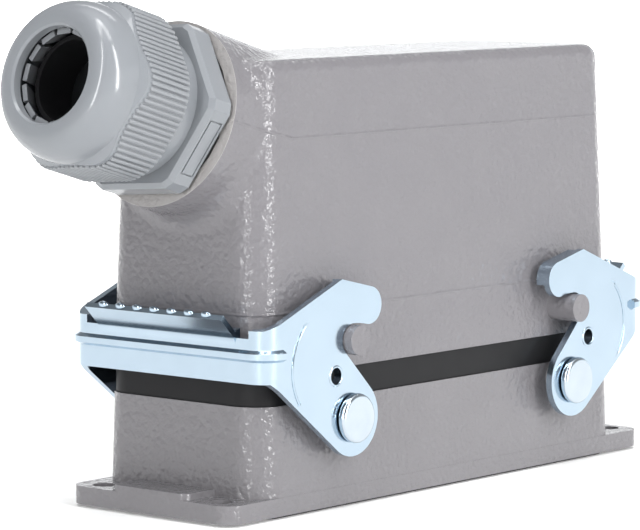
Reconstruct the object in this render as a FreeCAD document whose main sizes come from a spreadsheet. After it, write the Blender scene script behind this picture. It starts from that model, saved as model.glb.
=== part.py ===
"""Heavy duty rectangular connector: panel base, side-entry hood, two locking levers, cable gland.

Millimetres, +Z up. X runs along the connector, with the cable gland at -X.
The origin is the centre of the four mounting holes, on the underside of the cast base.
The free gasket stands proud below it.
"""
import FreeCAD
import Part
import Sketcher
import math
import os
import re

Vec = FreeCAD.Vector
Y_AXIS = Vec(0, 1, 0)
Z_AXIS = Vec(0, 0, 1)

doc = FreeCAD.newDocument("rectangular_connector")
sheet = doc.addObject("Spreadsheet::Sheet", "Sizes")

# Driving dimensions, in millimetres and degrees: name, value, what it is
DIMENSIONS = [
    ("base_length", 120.0, "base at its rim, along X"),
    ("base_width", 43.0, "base at its rim, along Y"),
    ("corner_radius", 7.0, "upright corners of base and hood"),
    ("rim_height", 21.9, "metal rim of the base above its underside"),
    ("base_wall", 4.0, "cast wall of the base at its rim"),
    ("base_draft", 1.3, "draft of the base walls"),
    ("upstand_height", 4.5, "inner lip of the base above its rim"),
    ("upstand_wall", 1.3, "thickness of that lip"),
    ("foot_reach", 9.2, "feet beyond the rim, at each end"),
    ("pad_height", 3.7, "thickness of the corner pads"),
    ("step_height", 5.0, "top of the raised step between two pads"),
    ("step_width", 20.0, "length of that step along Y"),
    ("foot_radius", 4.0, "corners of the feet"),
    ("hole_reach", 5.0, "mounting holes beyond the rim, at each end"),
    ("hole_inset", 5.5, "mounting holes inside the rim's long sides"),
    ("hole_diameter", 4.5, "clearance hole for a 4 mm screw"),
    ("gasket_proud", 0.6, "free gasket below the metal"),
    ("gasket_thickness", 2.0, "flange gasket, over all"),
    ("gasket_width", 2.1, "width of its cord"),
    ("gasket_inset", 1.2, "from the outer wall to the gasket"),
    ("seal_height", 5.9, "black seal between base and hood"),
    ("seal_inset", 0.3, "seal behind the outer wall"),
    ("seal_slack", 0.2, "seal clear of the inner lip"),
    ("hood_top", 90.0, "top of the hood"),
    ("hood_wall", 3.5, "cast wall of the hood"),
    ("hood_draft", 1.6, "draft of the hood walls"),
    ("top_radius", 3.0, "rounding round the top of the hood"),
    ("gland_tilt", 15.9, "cable entry above the horizontal"),
    ("neck_reach", 4.2, "centre of the neck's face beyond the rim"),
    ("neck_z", 79.4, "centre of the neck's face"),
    ("neck_side", 1.16, "neck inside the hood's long sides at its face"),
    ("neck_depth", 40.0, "neck into the hood"),
    ("neck_blend", 5.0, "rounding between neck and hood"),
    ("thread_radius", 14.15, "entry bore, 28.3 mm conduit thread"),
    ("thread_length", 11.0, "gland thread in the neck"),
    ("thread_slack", 0.05, "gland thread in its bore"),
    ("ring_thickness", 0.9, "sealing ring under the gland"),
    ("ring_width", 2.2, "that ring, across its section"),
    ("hex_flats", 33.0, "spanner size of the gland"),
    ("hex_corner", 18.3, "turned corners of the gland's hexagon"),
    ("hex_height", 5.5, "thickness of the gland's hexagon"),
    ("hex_chamfer", 0.6, "turned chamfer at both ends of that hexagon"),
    ("gland_phase", 34.0, "turn of the hexagons about the axis"),
    ("collar_radius", 15.0, "smooth collar of the gland"),
    ("collar_length", 5.0, "collar between hexagon and nut"),
    ("spigot_radius", 14.0, "threaded spigot inside the nut"),
    ("spigot_length", 9.0, "spigot beyond the collar"),
    ("spigot_bore", 11.2, "bore of the gland"),
    ("nut_length", 21.5, "dome nut, over all"),
    ("nut_flats", 33.0, "dome nut across flats"),
    ("nut_corner", 17.9, "rounded corners of the nut"),
    ("nut_rib_length", 13.0, "ribbed part of the nut"),
    ("nut_slack", 0.3, "nut clear of what it turns round"),
    ("rib_count", 90, "ribs round the nut"),
    ("rib_depth", 0.45, "depth of the grooves between them"),
    ("nut_bevel_foot", 0.8, "bevelled corners of the nut at its foot"),
    ("nut_bevel_top", 1.4, "bevelled corners of the nut under its dome"),
    ("mouth_radius", 9.6, "opening of the nut"),
    ("mouth_chamfer", 1.0, "chamfer round that opening"),
    ("mouth_land", 2.4, "straight part of that opening"),
    ("dome_inset", 0.4, "foot of the dome inside the nut's flats"),
    ("dome_edge", 0.2, "flat rim of the dome round the chamfer"),
    ("dome_bands", 5, "conical bands that make up the dome"),
    ("cage_collar", 1.2, "closed ring at the foot of the clamping cage"),
    ("cage_wall", 1.2, "ring and fingers of the cage"),
    ("cage_tip", 9.8, "fingers of the cage at their tips, from the axis"),
    ("cage_depth", 3.2, "tips of the fingers behind the nut's front"),
    ("cage_count", 14, "fingers round the cage"),
    ("finger_width", 3.4, "width of a finger"),
    ("bush_bore", 8.2, "rubber bush, where the cable passes"),
    ("bush_length", 9.5, "rubber bush along the cable"),
    ("bush_tip", 9.2, "rubber bush at its front"),
    ("bush_taper", 3.4, "tapered front of the rubber bush"),
    ("bush_depth", 6.1, "rubber bush behind the nut's front"),
    ("bush_slack", 0.1, "rubber bush in the gland's bore"),
    ("pivot_inset", 22.8, "lever pivots and pegs inside the rim's ends"),
    ("pivot_z", 18.3, "height of the pivots"),
    ("peg_rise", 15.7, "locking pegs above the pivots"),
    ("peg_diameter", 6.0, "locking pegs"),
    ("peg_length", 7.0, "pegs beyond the widest hood wall"),
    ("shank_diameter", 5.0, "rivet shank"),
    ("shank_slack", 0.08, "rivet shank in the lever, radial"),
    ("shank_reach", 4.0, "rivet shank into the base wall"),
    ("head_diameter", 10.0, "rivet head"),
    ("head_height", 1.6, "rivet head"),
    ("head_edge", 0.5, "chamfer of the rivet head"),
    ("boss_diameter", 7.0, "cast boss behind each rivet"),
    ("running_gap", 0.3, "lever clear of boss, head and peg"),
    ("sheet", 1.5, "lever sheet"),
    ("arm_gap", 4.95, "outer face of a lever arm beyond the rim's side"),
    ("web_gap", 3.5, "outer face of the lever web beyond the rim's end"),
    ("lever_bend", 4.5, "outer bend between web and arm"),
    ("web_low", 27.3, "lower edge of the web"),
    ("web_high", 37.8, "upper edge of the web at its bends"),
    ("web_low_land", 2.0, "level part of the web's lower edge behind its outer face"),
    ("web_high_land", 1.0, "level part of the web's upper edge behind its outer face"),
    ("arm_end_radius", 7.8, "round end of an arm at its pivot"),
    ("arm_end_turn", 45.0, "where that round end stops, above the horizontal"),
    ("notch_turn", 220.0, "where the peg's notch starts, round the peg"),
    ("notch_corner_lead", 0.9, "corner below the notch, before the peg"),
    ("notch_corner_drop", 3.8, "corner below the notch, under the peg"),
    ("arm_reach", 20.0, "blank of an arm beyond its pivot"),
    ("arm_top", 46.4, "highest edge of an arm"),
    ("arm_top_lead", 3.4, "where that edge starts, before the pivot"),
    ("tip_radius", 3.8, "round tip of the hook"),
    ("tip_angle", 13.0, "hook tip past the peg, seen from the pivot"),
    ("hook_flange", 2.6, "hook flange bent towards the hood"),
    ("hook_flange_wall", 1.1, "thickness of that flange"),
    ("flange_start", 1.0, "where that flange starts, behind the arm's highest corner"),
    ("flange_rise", 5.4, "where that flange ends, above the peg"),
    ("eye_lead", 5.3, "collared hole in an arm, before the pivot"),
    ("eye_rise", 8.9, "that hole above the pivot"),
    ("eye_diameter", 4.0, "collared hole"),
    ("eye_collar", 0.7, "wall and depth of its collar"),
    ("lip_reach", 4.3, "grip lip beyond the web"),
    ("lip_drop", 3.1, "where the lip starts to lean out, below the web's upper edge"),
    ("lip_bend", 2.5, "bend between web and lip"),
    ("lip_lean", 45.0, "lean of the lip from the upright"),
    ("relief_width", 3.5, "notch in the web's edge beside each end of the lip"),
    ("relief_depth", 1.6, "that notch below the web's upper edge"),
    ("lip_inset", 3.2, "ends of the lip inside the base's long sides"),
    ("lip_wall", 1.2, "thickness of the grip lip"),
    ("bead_width", 2.4, "pressed bead round the lever"),
    ("bead_proud", 1.0, "bead beyond the sheet"),
    ("bead_height", 32.8, "height of the bead"),
    ("bead_reach", 5.0, "bead along an arm, from the web's outer face"),
    ("insert_slack", 0.5, "inserts' ears clear of the base's walls"),
    ("ear_height", 5.0, "thickness of the ears"),
    ("female_bottom", 6.4, "underside of the female insert"),
    ("female_ear_z", 14.4, "underside of its ears"),
    ("shelf_height", 2.0, "terminal block above its ears"),
    ("tower_top", 39.4, "mating face of the female insert"),
    ("tower_step_long", 5.0, "its tower inside the terminal block, at each end"),
    ("tower_step_short", 3.0, "its tower inside the terminal block, at each side"),
    ("ear_long", 8.0, "ears beyond the terminal block, at each end"),
    ("ear_short", 2.0, "ears beyond the terminal block, at each side"),
    ("shroud_gap", 0.5, "male shroud clear of the tower"),
    ("shroud_wall", 2.0, "wall of the male shroud"),
    ("shroud_bottom", 23.4, "lower edge of the male shroud"),
    ("mating_gap", 0.5, "between the two mating faces"),
    ("male_ear_z", 43.4, "underside of the male ears"),
    ("male_top", 59.4, "wire side of the male insert"),
    ("row_margin", 5.1, "last contacts of a row inside the tower's ends"),
    ("row_inset", 6.0, "rows of contacts inside the tower's sides"),
    ("contacts_per_row", 12, "contacts in one row"),
    ("channel", 4.8, "square channel for a contact"),
    ("channel_slack", 0.1, "contact in its channel"),
    ("pin_diameter", 2.5, "male contact pins"),
    ("pin_slack", 0.05, "pin in its socket, radial"),
    ("pin_tip_gap", 1.0, "pin clear of the socket's bottom"),
    ("socket_depth", 14.0, "bore of a female contact"),
    ("terminal_height", 12.0, "terminal box of a contact"),
    ("sleeve_diameter", 4.0, "sleeve of a female contact"),
    ("post_length", 7.7, "screw posts in base and hood along X"),
    ("post_width", 8.0, "screw posts along Y"),
    ("post_height", 7.0, "screw posts in base and hood"),
    ("screw_inset", 3.5, "insert screws inside the ears' edges"),
    ("screw_diameter", 4.0, "insert screws"),
    ("screw_head", 7.0, "head of an insert screw"),
    ("screw_head_height", 2.4, "head of an insert screw"),
    ("screw_length", 11.0, "insert screws under the head"),
    ("slot_width", 1.0, "driver slot"),
    ("slot_depth", 1.0, "driver slot"),
    ("plate_length", 7.0, "earth plates along X"),
    ("plate_width", 11.0, "earth plates along Y"),
    ("plate_thickness", 1.5, "earth plates"),
    ("plate_inset", 4.5, "middle of the earth plates inside the ears' ends"),
    ("earth_screw_length", 6.0, "earth screws under the head"),
]


def fill_sheet():
    """Write each dimension as plain text into the sheet, with its alias."""
    for row, (alias, value, meaning) in enumerate(DIMENSIONS, start=1):
        sheet.set("A%d" % row, alias)
        sheet.set("B%d" % row, str(value))
        sheet.set("C%d" % row, meaning)
        sheet.setAlias("B%d" % row, alias)
    doc.recompute()


fill_sheet()
ALIASES = {name for name, value, meaning in DIMENSIONS}


def val(alias):
    """Read one driving dimension."""
    return float(sheet.get(alias))


def bind(thing, prop, expression):
    """Tie a property to the sheet; aliases in the expression are sheet cells."""
    def named(match):
        word = match.group(0)
        return "Sizes." + word if word in ALIASES else word
    thing.setExpression(prop, re.sub(r"[a-z][a-z_]*[a-z]", named, str(expression)))


def place(thing, x=0, y=0, z=0):
    """Tie the position of an object to the sheet."""
    for axis, expression in (("x", x), ("y", y), ("z", z)):
        bind(thing, "Placement.Base." + axis, expression)
    return thing


def box(name, sizes, centre_x=0, centre_y=0, low_z=0):
    """A box centred on (centre_x, centre_y) that stands on low_z."""
    thing = doc.addObject("Part::Box", name)
    for prop, expression in zip(("Length", "Width", "Height"), sizes):
        bind(thing, prop, expression)
    return place(thing, "(%s) - (%s) / 2" % (centre_x, sizes[0]),
                 "(%s) - (%s) / 2" % (centre_y, sizes[1]), low_z)


def cylinder(name, radius, height, x=0, y=0, z=0, axis=Z_AXIS):
    """A cylinder whose foot is at (x, y, z) and which runs along axis."""
    thing = doc.addObject("Part::Cylinder", name)
    bind(thing, "Radius", radius)
    bind(thing, "Height", height)
    thing.Placement = FreeCAD.Placement(Vec(), FreeCAD.Rotation(Z_AXIS, axis))
    return place(thing, x, y, z)


def prism(name, sides, radius, height, x=0, y=0, z=0, axis=Z_AXIS):
    """A small hidden round piece as a prism of few sides, its foot at (x, y, z), running along axis."""
    thing = doc.addObject("Part::Prism", name)
    thing.Polygon = sides
    bind(thing, "Circumradius", radius)
    bind(thing, "Height", height)
    thing.Placement = FreeCAD.Placement(Vec(), FreeCAD.Rotation(Z_AXIS, axis))
    return place(thing, x, y, z)


def cone(name, radius_low, radius_high, height, x=0, y=0, z=0, axis=Z_AXIS):
    """A cone frustum whose foot is at (x, y, z) and which runs along axis."""
    thing = doc.addObject("Part::Cone", name)
    bind(thing, "Radius1", radius_low)
    bind(thing, "Radius2", radius_high)
    bind(thing, "Height", height)
    thing.Placement = FreeCAD.Placement(Vec(), FreeCAD.Rotation(Z_AXIS, axis))
    return place(thing, x, y, z)


def fuse(name, things):
    """One piece made of several."""
    thing = doc.addObject("Part::MultiFuse", name)
    thing.Shapes = things
    thing.Refine = True
    return thing


def cut(name, body, tool):
    """A piece less a tool."""
    thing = doc.addObject("Part::Cut", name)
    thing.Base = body
    thing.Tool = tool
    return thing


def common(name, things):
    """What several pieces share."""
    thing = doc.addObject("Part::MultiCommon", name)
    thing.Shapes = things
    return thing


def group(name, things):
    """Separate solids kept together as one object."""
    thing = doc.addObject("Part::Compound", name)
    thing.Links = things
    return thing


def feature(name, shape):
    """An object whose shape is worked out below from the sheet's values."""
    thing = doc.addObject("Part::Feature", name)
    thing.Shape = shape
    thing.Placement = FreeCAD.Placement()
    return thing


def rounded_rectangle(name, length, width, radius, z=0):
    """A sketch of a rectangle with round corners, centred on the Z axis."""
    sketch = doc.addObject("Sketcher::SketchObject", name)
    half_x, half_y, turn = 30.0, 10.0, 3.0
    corners = [(half_x, -half_y), (half_x, half_y), (-half_x, half_y), (-half_x, -half_y)]
    inward = [(-1, 1), (-1, -1), (1, -1), (1, 1)]
    lines = [((-half_x + turn, -half_y), (half_x - turn, -half_y)),
             ((half_x, -half_y + turn), (half_x, half_y - turn)),
             ((half_x - turn, half_y), (-half_x + turn, half_y)),
             ((-half_x, half_y - turn), (-half_x, -half_y + turn))]
    for start, end in lines:
        sketch.addGeometry(Part.LineSegment(Vec(*start, 0), Vec(*end, 0)))
    for index, ((x, y), (in_x, in_y)) in enumerate(zip(corners, inward)):
        circle = Part.Circle(Vec(x + in_x * turn, y + in_y * turn, 0), Z_AXIS, turn)
        first = -math.pi / 2 + index * math.pi / 2
        sketch.addGeometry(Part.ArcOfCircle(circle, first, first + math.pi / 2))
    rule = Sketcher.Constraint
    for index in range(4):
        sketch.addConstraint(rule("Tangent", index, 2, 4 + index, 1))
        sketch.addConstraint(rule("Tangent", 4 + index, 2, (index + 1) % 4, 1))
    for index in (5, 6, 7):
        sketch.addConstraint(rule("Equal", 4, index))
    for index in (0, 2):
        sketch.addConstraint(rule("Horizontal", index))
        sketch.addConstraint(rule("Vertical", index + 1))
    sketch.addConstraint(rule("Symmetric", 0, 1, 2, 1, -1, 1))
    named = (("length", rule("Distance", 1, 1, 3, 2 * half_x), length),
             ("width", rule("Distance", 0, 1, 2, 2 * half_y), width),
             ("radius", rule("Radius", 4, turn), radius))
    for label, constraint, expression in named:
        place_in_list = sketch.addConstraint(constraint)
        sketch.renameConstraint(place_in_list, label)
        bind(sketch, "Constraints." + label, expression)
    place(sketch, 0, 0, z)
    return sketch


def slab(name, length, width, radius, low_z, height):
    """A block with round upright corners that stands on low_z."""
    thing = doc.addObject("Part::Extrusion", name)
    thing.Base = rounded_rectangle(name + "_outline", length, width, radius, low_z)
    thing.DirMode = "Custom"
    thing.Dir = Z_AXIS
    thing.Solid = True
    bind(thing, "LengthFwd", height)
    return thing


def drafted_block(name, low, high, z, height, radius):
    """A block that stands on z, with drafted sides and upright corners of one radius.

    low and high are its (length, width) at its foot and at its top, as expressions.
    """
    wedge = doc.addObject("Part::Wedge", name + "_sharp")
    for axis, low_side, high_side in (("X", low[0], high[0]), ("Z", low[1], high[1])):
        for end, sign in (("min", "-"), ("max", "")):
            bind(wedge, axis + end, "%s(%s) / 2" % (sign, low_side))
            bind(wedge, axis + "2" + end, "%s(%s) / 2" % (sign, high_side))
    bind(wedge, "Ymin", 0)
    bind(wedge, "Ymax", height)
    wedge.Placement = FreeCAD.Placement(Vec(), FreeCAD.Rotation(Vec(1, 0, 0), 90))
    place(wedge, 0, 0, z)
    doc.recompute()
    upright = [edge for edge in wedge.Shape.Edges if edge.BoundBox.ZLength > wedge.Shape.BoundBox.ZLength / 2]
    return feature(name, wedge.Shape.makeFillet(radius, upright))


def on_gland(thing, along=0):
    """Turn a piece made along Z onto the cable entry, its foot a distance beyond the neck's face."""
    thing.Placement = FreeCAD.Placement(Vec(), FreeCAD.Rotation(Vec(0, -1, 0), 1))
    bind(thing, "Placement.Rotation.Angle", "90 - gland_tilt")
    return place(thing, "-base_length / 2 - neck_reach - (%s) * cos(gland_tilt)" % along, 0,
                 "neck_z + (%s) * sin(gland_tilt)" % along)


def four_corners(pitch_x, pitch_y):
    """Centres of four things at plus and minus half of two pitches, as expressions."""
    return [("%s(%s) / 2" % (sign_x, pitch_x), "%s(%s) / 2" % (sign_y, pitch_y))
            for sign_x in ("-", "") for sign_y in ("-", "")]


# Sides of the small round pieces inside, kept few because they repeat
SCREW_SIDES = 8
CONTACT_SIDES = 6

# Flats round the collar behind each hole in an arm
COLLAR_SIDES = 12

# Share of the way from rim to foot at which the dome's arc passes; 0.5 would be a plain cone
DOME_BULGE = 0.72

# Angles in degrees: once round, straight up, and between the corners of a hexagon
FULL_TURN = 360.0
UPRIGHT = 90.0
HEX_TURN = 60.0

# Flats round the hidden round forms of the gland, kept few for the same reason
HIDDEN_SIDES = 28

# Walls of the base and hood at a height, as expressions that follow the draft
FLANGE_LENGTH = "base_length + 2 * foot_reach"
BASE_LENGTH_LOW = "base_length + 2 * rim_height * tan(base_draft)"
BASE_WIDTH_LOW = "base_width + 2 * rim_height * tan(base_draft)"
BASE_INNER_LENGTH = "(base_length - 2 * base_wall)"
BASE_INNER_WIDTH = "(base_width - 2 * base_wall)"
BASE_INNER_RADIUS = "(corner_radius - base_wall)"
HOOD_BOTTOM = "rim_height + seal_height"

# Lever pivots, and what the inserts take from the walls round them
PIVOT_X = "(base_length / 2 - pivot_inset)"
EAR_LENGTH = "(base_length - 2 * base_wall - 2 * insert_slack)"
EAR_WIDTH = "(base_width - 2 * base_wall - 2 * insert_slack)"
BLOCK_LENGTH = "(%s - 2 * ear_long)" % EAR_LENGTH
BLOCK_WIDTH = "(%s - 2 * ear_short)" % EAR_WIDTH
TOWER_LENGTH = "(%s - 2 * tower_step_long)" % BLOCK_LENGTH
TOWER_WIDTH = "(%s - 2 * tower_step_short)" % BLOCK_WIDTH
SCREW_PITCH_LONG = "%s - 2 * screw_inset" % EAR_LENGTH
SCREW_PITCH_SHORT = "%s - 2 * screw_inset" % EAR_WIDTH
PLATE_X = "(%s / 2 - plate_inset)" % EAR_LENGTH
ARM_OUTER = "(base_width / 2 + arm_gap)"
SHANK_START = "%s - sheet - running_gap - shank_reach" % ARM_OUTER


def pivot_x():
    """Distance of the lever pivots from the middle, along X."""
    return val("base_length") / 2 - val("pivot_inset")


def arm_outer():
    """Distance of a lever arm's outer face from the middle, along Y."""
    return val("base_width") / 2 + val("arm_gap")


def web_outer():
    """Distance of a lever web's outer face from the middle, along X."""
    return val("base_length") / 2 + val("web_gap")


def neck_radius():
    """Outside of the neck, which keeps inside the drafted long sides of the hood."""
    rise = val("neck_z") - val("rim_height") - val("seal_height")
    return val("base_width") / 2 - rise * math.tan(math.radians(val("hood_draft"))) - val("neck_side")


def pivot_places():
    """Centres of the lever pivots: sign along X, sign along Y."""
    return [(side, face) for side in (-1, 1) for face in (-1, 1)]


def outward(face):
    """Direction from the middle out through one long side."""
    return Vec(0, face, 0)


def base_housing():
    """Cast base with two screw feet, rivet bosses, screw posts and an inner lip."""
    walls = drafted_block("base_walls", (BASE_LENGTH_LOW, BASE_WIDTH_LOW), ("base_length", "base_width"),
                          0, "rim_height", val("corner_radius"))
    feet = slab("base_feet", FLANGE_LENGTH, BASE_WIDTH_LOW, "foot_radius", 0, "pad_height")
    step = slab("base_step", FLANGE_LENGTH, "step_width", "foot_radius / 2", 0, "step_height")
    lip = slab("base_lip", BASE_INNER_LENGTH + " + 2 * upstand_wall",
               BASE_INNER_WIDTH + " + 2 * upstand_wall",
               BASE_INNER_RADIUS + " + upstand_wall", 0, "rim_height + upstand_height")
    bosses = [cylinder("rivet_boss", "boss_diameter / 2", "arm_gap - sheet - running_gap + base_wall",
                       "%d * %s" % (side, PIVOT_X), "%d * (base_width / 2 - base_wall)" % face, "pivot_z",
                       outward(face)) for side, face in pivot_places()]
    cavity = slab("base_cavity", BASE_INNER_LENGTH, BASE_INNER_WIDTH, BASE_INNER_RADIUS, -1,
                  "rim_height + upstand_height + 2")
    shell = cut("base_shell", fuse("base_casting", [walls, feet, step, lip] + bosses), cavity)
    posts = [box("base_post", ("post_length", "post_width", "post_height"),
                 "%s * (%s - post_length) / 2" % (sx, BASE_INNER_LENGTH),
                 "%s * (%s - post_width) / 2" % (sy, BASE_INNER_WIDTH), "female_ear_z - post_height")
             for sx in ("-1", "1") for sy in ("-1", "1")]
    holes = [cylinder("mounting_hole", "hole_diameter / 2", "step_height + 2", x, y, -1)
             for x, y in four_corners("base_length + 2 * hole_reach", "base_width - 2 * hole_inset")]
    taps = [prism("post_tap", SCREW_SIDES, "screw_diameter / 2", "screw_length", x, y,
                  "female_ear_z + ear_height - screw_length")
            for x, y in four_corners(SCREW_PITCH_LONG, SCREW_PITCH_SHORT)]
    shanks = [cylinder("rivet_hole", "shank_diameter / 2", "shank_reach + base_width",
                       "%d * %s" % (side, PIVOT_X), "%d * (%s)" % (face, SHANK_START), "pivot_z",
                       outward(face)) for side, face in pivot_places()]
    groove = cut("gasket_groove", gasket_block("groove_outer", 0),
                 gasket_block("groove_inner", "gasket_width"))
    whole = fuse("base_blank", [shell] + posts)
    return cut("base_housing", whole, fuse("base_holes", holes + taps + shanks + [groove]))


def gasket_block(name, inset):
    """Block under the base, as wide as the gasket's outside less an inset all round."""
    return slab(name, "%s - 2 * (gasket_inset + %s)" % (BASE_LENGTH_LOW, inset),
                "%s - 2 * (gasket_inset + %s)" % (BASE_WIDTH_LOW, inset),
                "corner_radius - gasket_inset - %s" % inset, "-gasket_proud", "gasket_thickness")


def flange_gasket():
    """Rubber cord gasket between base and panel."""
    return cut("flange_gasket", gasket_block("gasket_outer", 0), gasket_block("gasket_inner", "gasket_width"))


def rim_seal():
    """Black rubber frame between base and hood."""
    outer = slab("seal_outer", "base_length - 2 * seal_inset", "base_width - 2 * seal_inset",
                 "corner_radius - seal_inset", "rim_height", "seal_height")
    lip_gap = " + 2 * (upstand_wall + seal_slack)"
    inner = slab("seal_inner", BASE_INNER_LENGTH + lip_gap, BASE_INNER_WIDTH + lip_gap,
                 BASE_INNER_RADIUS + " + upstand_wall + seal_slack", "rim_height - 1", "seal_height + 2")
    return cut("rim_seal", outer, inner)


def hood_size(overall, height, inset=0):
    """Outer size of the hood at a height, with its draft."""
    return "%s - 2 * ((%s) - (%s)) * tan(hood_draft) - 2 * (%s)" % (overall, height, HOOD_BOTTOM, inset)


def hood_block(name, high, inset, wall):
    """Block with the hood's draft up to a height, inset from its outer walls by an expression worth wall."""
    low_size, high_size = [tuple(hood_size(side, height, inset) for side in ("base_length", "base_width"))
                           for height in (HOOD_BOTTOM, high)]
    return drafted_block(name, low_size, high_size, HOOD_BOTTOM, "(%s) - (%s)" % (high, HOOD_BOTTOM),
                         val("corner_radius") - wall)


def along_gland():
    """Placement of what is made along Z on the neck's face."""
    turn = FreeCAD.Rotation(Vec(0, -1, 0), 90 - val("gland_tilt"))
    return FreeCAD.Placement(Vec(-val("base_length") / 2 - val("neck_reach"), 0, val("neck_z")), turn)


def edges_on_neck(shape):
    """Edges where the neck meets the hood: they lie on its cylinder and away from its face."""
    frame = along_gland().inverse()
    found = []
    for edge in shape.Edges:
        first, last = edge.FirstParameter, edge.LastParameter
        spots = [frame.multVec(edge.valueAt(first + share * (last - first))) for share in (0.1, 0.5, 0.9)]
        on_wall = all(abs(math.hypot(spot.x, spot.y) - neck_radius()) < 0.01 for spot in spots)
        if on_wall and max(spot.z for spot in spots) < -0.01 and edge.Curve.TypeId != "Part::GeomLine":
            found.append(edge)
    return found


def hood_casting(outside):
    """Outer form of the hood: drafted block, rounded top and the slanted neck blended into it."""
    crown = [edge for edge in outside.Edges if edge.BoundBox.ZMin > val("hood_top") - 0.01]
    block = outside.makeFillet(val("top_radius"), crown)
    neck = Part.makeCylinder(neck_radius(), val("neck_depth"), Vec(0, 0, -val("neck_depth")))
    neck.Placement = along_gland()
    joined = block.fuse(neck).removeSplitter()
    return joined.makeFillet(val("neck_blend"), edges_on_neck(joined))


def hood():
    """Cast hood with its neck, locking pegs and screw posts."""
    outside = hood_block("hood_outside", "hood_top", 0, 0)
    casting = feature("hood_casting", hood_casting(outside.Shape))
    pegs = [cylinder("locking_peg", "peg_diameter / 2", "peg_length + hood_wall", "%d * %s" % (side, PIVOT_X),
                     "%d * (base_width / 2 - hood_wall)" % face, "pivot_z + peg_rise", outward(face))
            for side, face in pivot_places()]
    cavity = hood_block("hood_cavity", "hood_top - hood_wall", "hood_wall", val("hood_wall"))
    bore = on_gland(cylinder("neck_bore", "thread_radius", "neck_depth + 1"), "-neck_depth")
    hollow = cut("hood_shell", fuse("hood_blank", [casting] + pegs), fuse("hood_hollow", [cavity, bore]))
    ear_top = "male_ear_z + ear_height"
    posts = [box("hood_post", ("post_length", "post_width", "post_height"),
                 "%s * (%s - hood_wall - post_length / 2)" % (sign_x, "base_length / 2"),
                 "%s * (%s - hood_wall - post_width / 2)" % (sign_y, "base_width / 2"), ear_top)
             for sign_x in ("-1", "1") for sign_y in ("-1", "1")]
    taps = [prism("hood_tap", SCREW_SIDES, "screw_diameter / 2", "screw_length", x, y, "male_ear_z")
            for x, y in four_corners(SCREW_PITCH_LONG, SCREW_PITCH_SHORT)]
    return cut("hood", fuse("hood_with_posts", [hollow] + posts), fuse("hood_taps", taps))


def channels(prefix, low, high):
    """Square channels for the contacts, from one height to another."""
    return [box(prefix + "_channel", ("channel", "channel", "(%s) - (%s)" % (high, low)), x, y, low)
            for x, y in contact_places()]


def contact_places():
    """Centre of every contact: two rows along X, as expressions."""
    count = int(val("contacts_per_row"))
    share = 1 / (count - 1)
    return [("%s * (%s - 2 * row_margin)" % (column * share - 0.5, TOWER_LENGTH),
             "%d * (%s / 2 - row_inset)" % (row, TOWER_WIDTH)) for row in (-1, 1) for column in range(count)]


def ear_holes(prefix, low):
    """Clearance holes for the four insert screws and the two earth screws."""
    fixing = [prism(prefix + "_hole", SCREW_SIDES, "screw_diameter / 2 + channel_slack",
                    "ear_height + 2", x, y, "(%s) - 1" % low)
              for x, y in four_corners(SCREW_PITCH_LONG, SCREW_PITCH_SHORT)]
    earth = [prism(prefix + "_earth_hole", SCREW_SIDES, "screw_diameter / 2", "ear_height + 2",
                   "%d * %s" % (side, PLATE_X), 0, "(%s) - 1" % low) for side in (-1, 1)]
    return fixing + earth


def female_insert():
    """Female contact insert: terminal block, ears and the tower that enters the male shroud."""
    blank = fuse("female_blank", [
        slab("female_ears", EAR_LENGTH, EAR_WIDTH, BASE_INNER_RADIUS, "female_ear_z", "ear_height"),
        box("female_block",
            (BLOCK_LENGTH, BLOCK_WIDTH, "female_ear_z + ear_height + shelf_height - female_bottom"),
            low_z="female_bottom"),
        box("female_tower", (TOWER_LENGTH, TOWER_WIDTH, "tower_top - female_ear_z"), low_z="female_ear_z")])
    holes = channels("female", "female_bottom - 1", "tower_top + 1") + ear_holes("female", "female_ear_z")
    return cut("female_insert", blank, fuse("female_holes", holes))


def male_insert():
    """Male contact insert: terminal block, ears and the shroud round the pins."""
    shroud_length = TOWER_LENGTH + " + 2 * shroud_gap"
    shroud_width = TOWER_WIDTH + " + 2 * shroud_gap"
    face = "tower_top + mating_gap"
    shroud_height = face + " + 1 - shroud_bottom"
    shroud = cut(
        "male_shroud",
        box("shroud_outer",
            (shroud_length + " + 2 * shroud_wall", shroud_width + " + 2 * shroud_wall", shroud_height),
            low_z="shroud_bottom"),
        box("shroud_inner", (shroud_length, shroud_width, shroud_height), low_z="shroud_bottom - 1"))
    blank = fuse("male_blank", [
        shroud,
        slab("male_ears", EAR_LENGTH, EAR_WIDTH, BASE_INNER_RADIUS, "male_ear_z", "ear_height"),
        box("male_block", (BLOCK_LENGTH, BLOCK_WIDTH, "male_top - (%s)" % face), low_z=face)])
    holes = channels("male", "tower_top", "male_top + 1") + ear_holes("male", "male_ear_z")
    return cut("male_insert", blank, fuse("male_holes", holes))


def female_contacts():
    """Female contacts: terminal box at the wire side, bored sleeve towards the pins."""
    contacts = []
    for x, y in contact_places():
        side = "channel - 2 * channel_slack"
        terminal = box("socket_terminal", (side, side, "terminal_height"), x, y, "female_bottom")
        sleeve = prism("socket_sleeve", CONTACT_SIDES, "sleeve_diameter / 2",
                       "tower_top - mating_gap - female_bottom - terminal_height", x, y,
                       "female_bottom + terminal_height")
        bore = prism("socket_bore", CONTACT_SIDES, "pin_diameter / 2 + pin_slack", "socket_depth + 1", x, y,
                     "tower_top - mating_gap - socket_depth")
        contacts.append(cut("female_contact", fuse("socket", [terminal, sleeve]), bore))
    return group("female_contacts", contacts)


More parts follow.
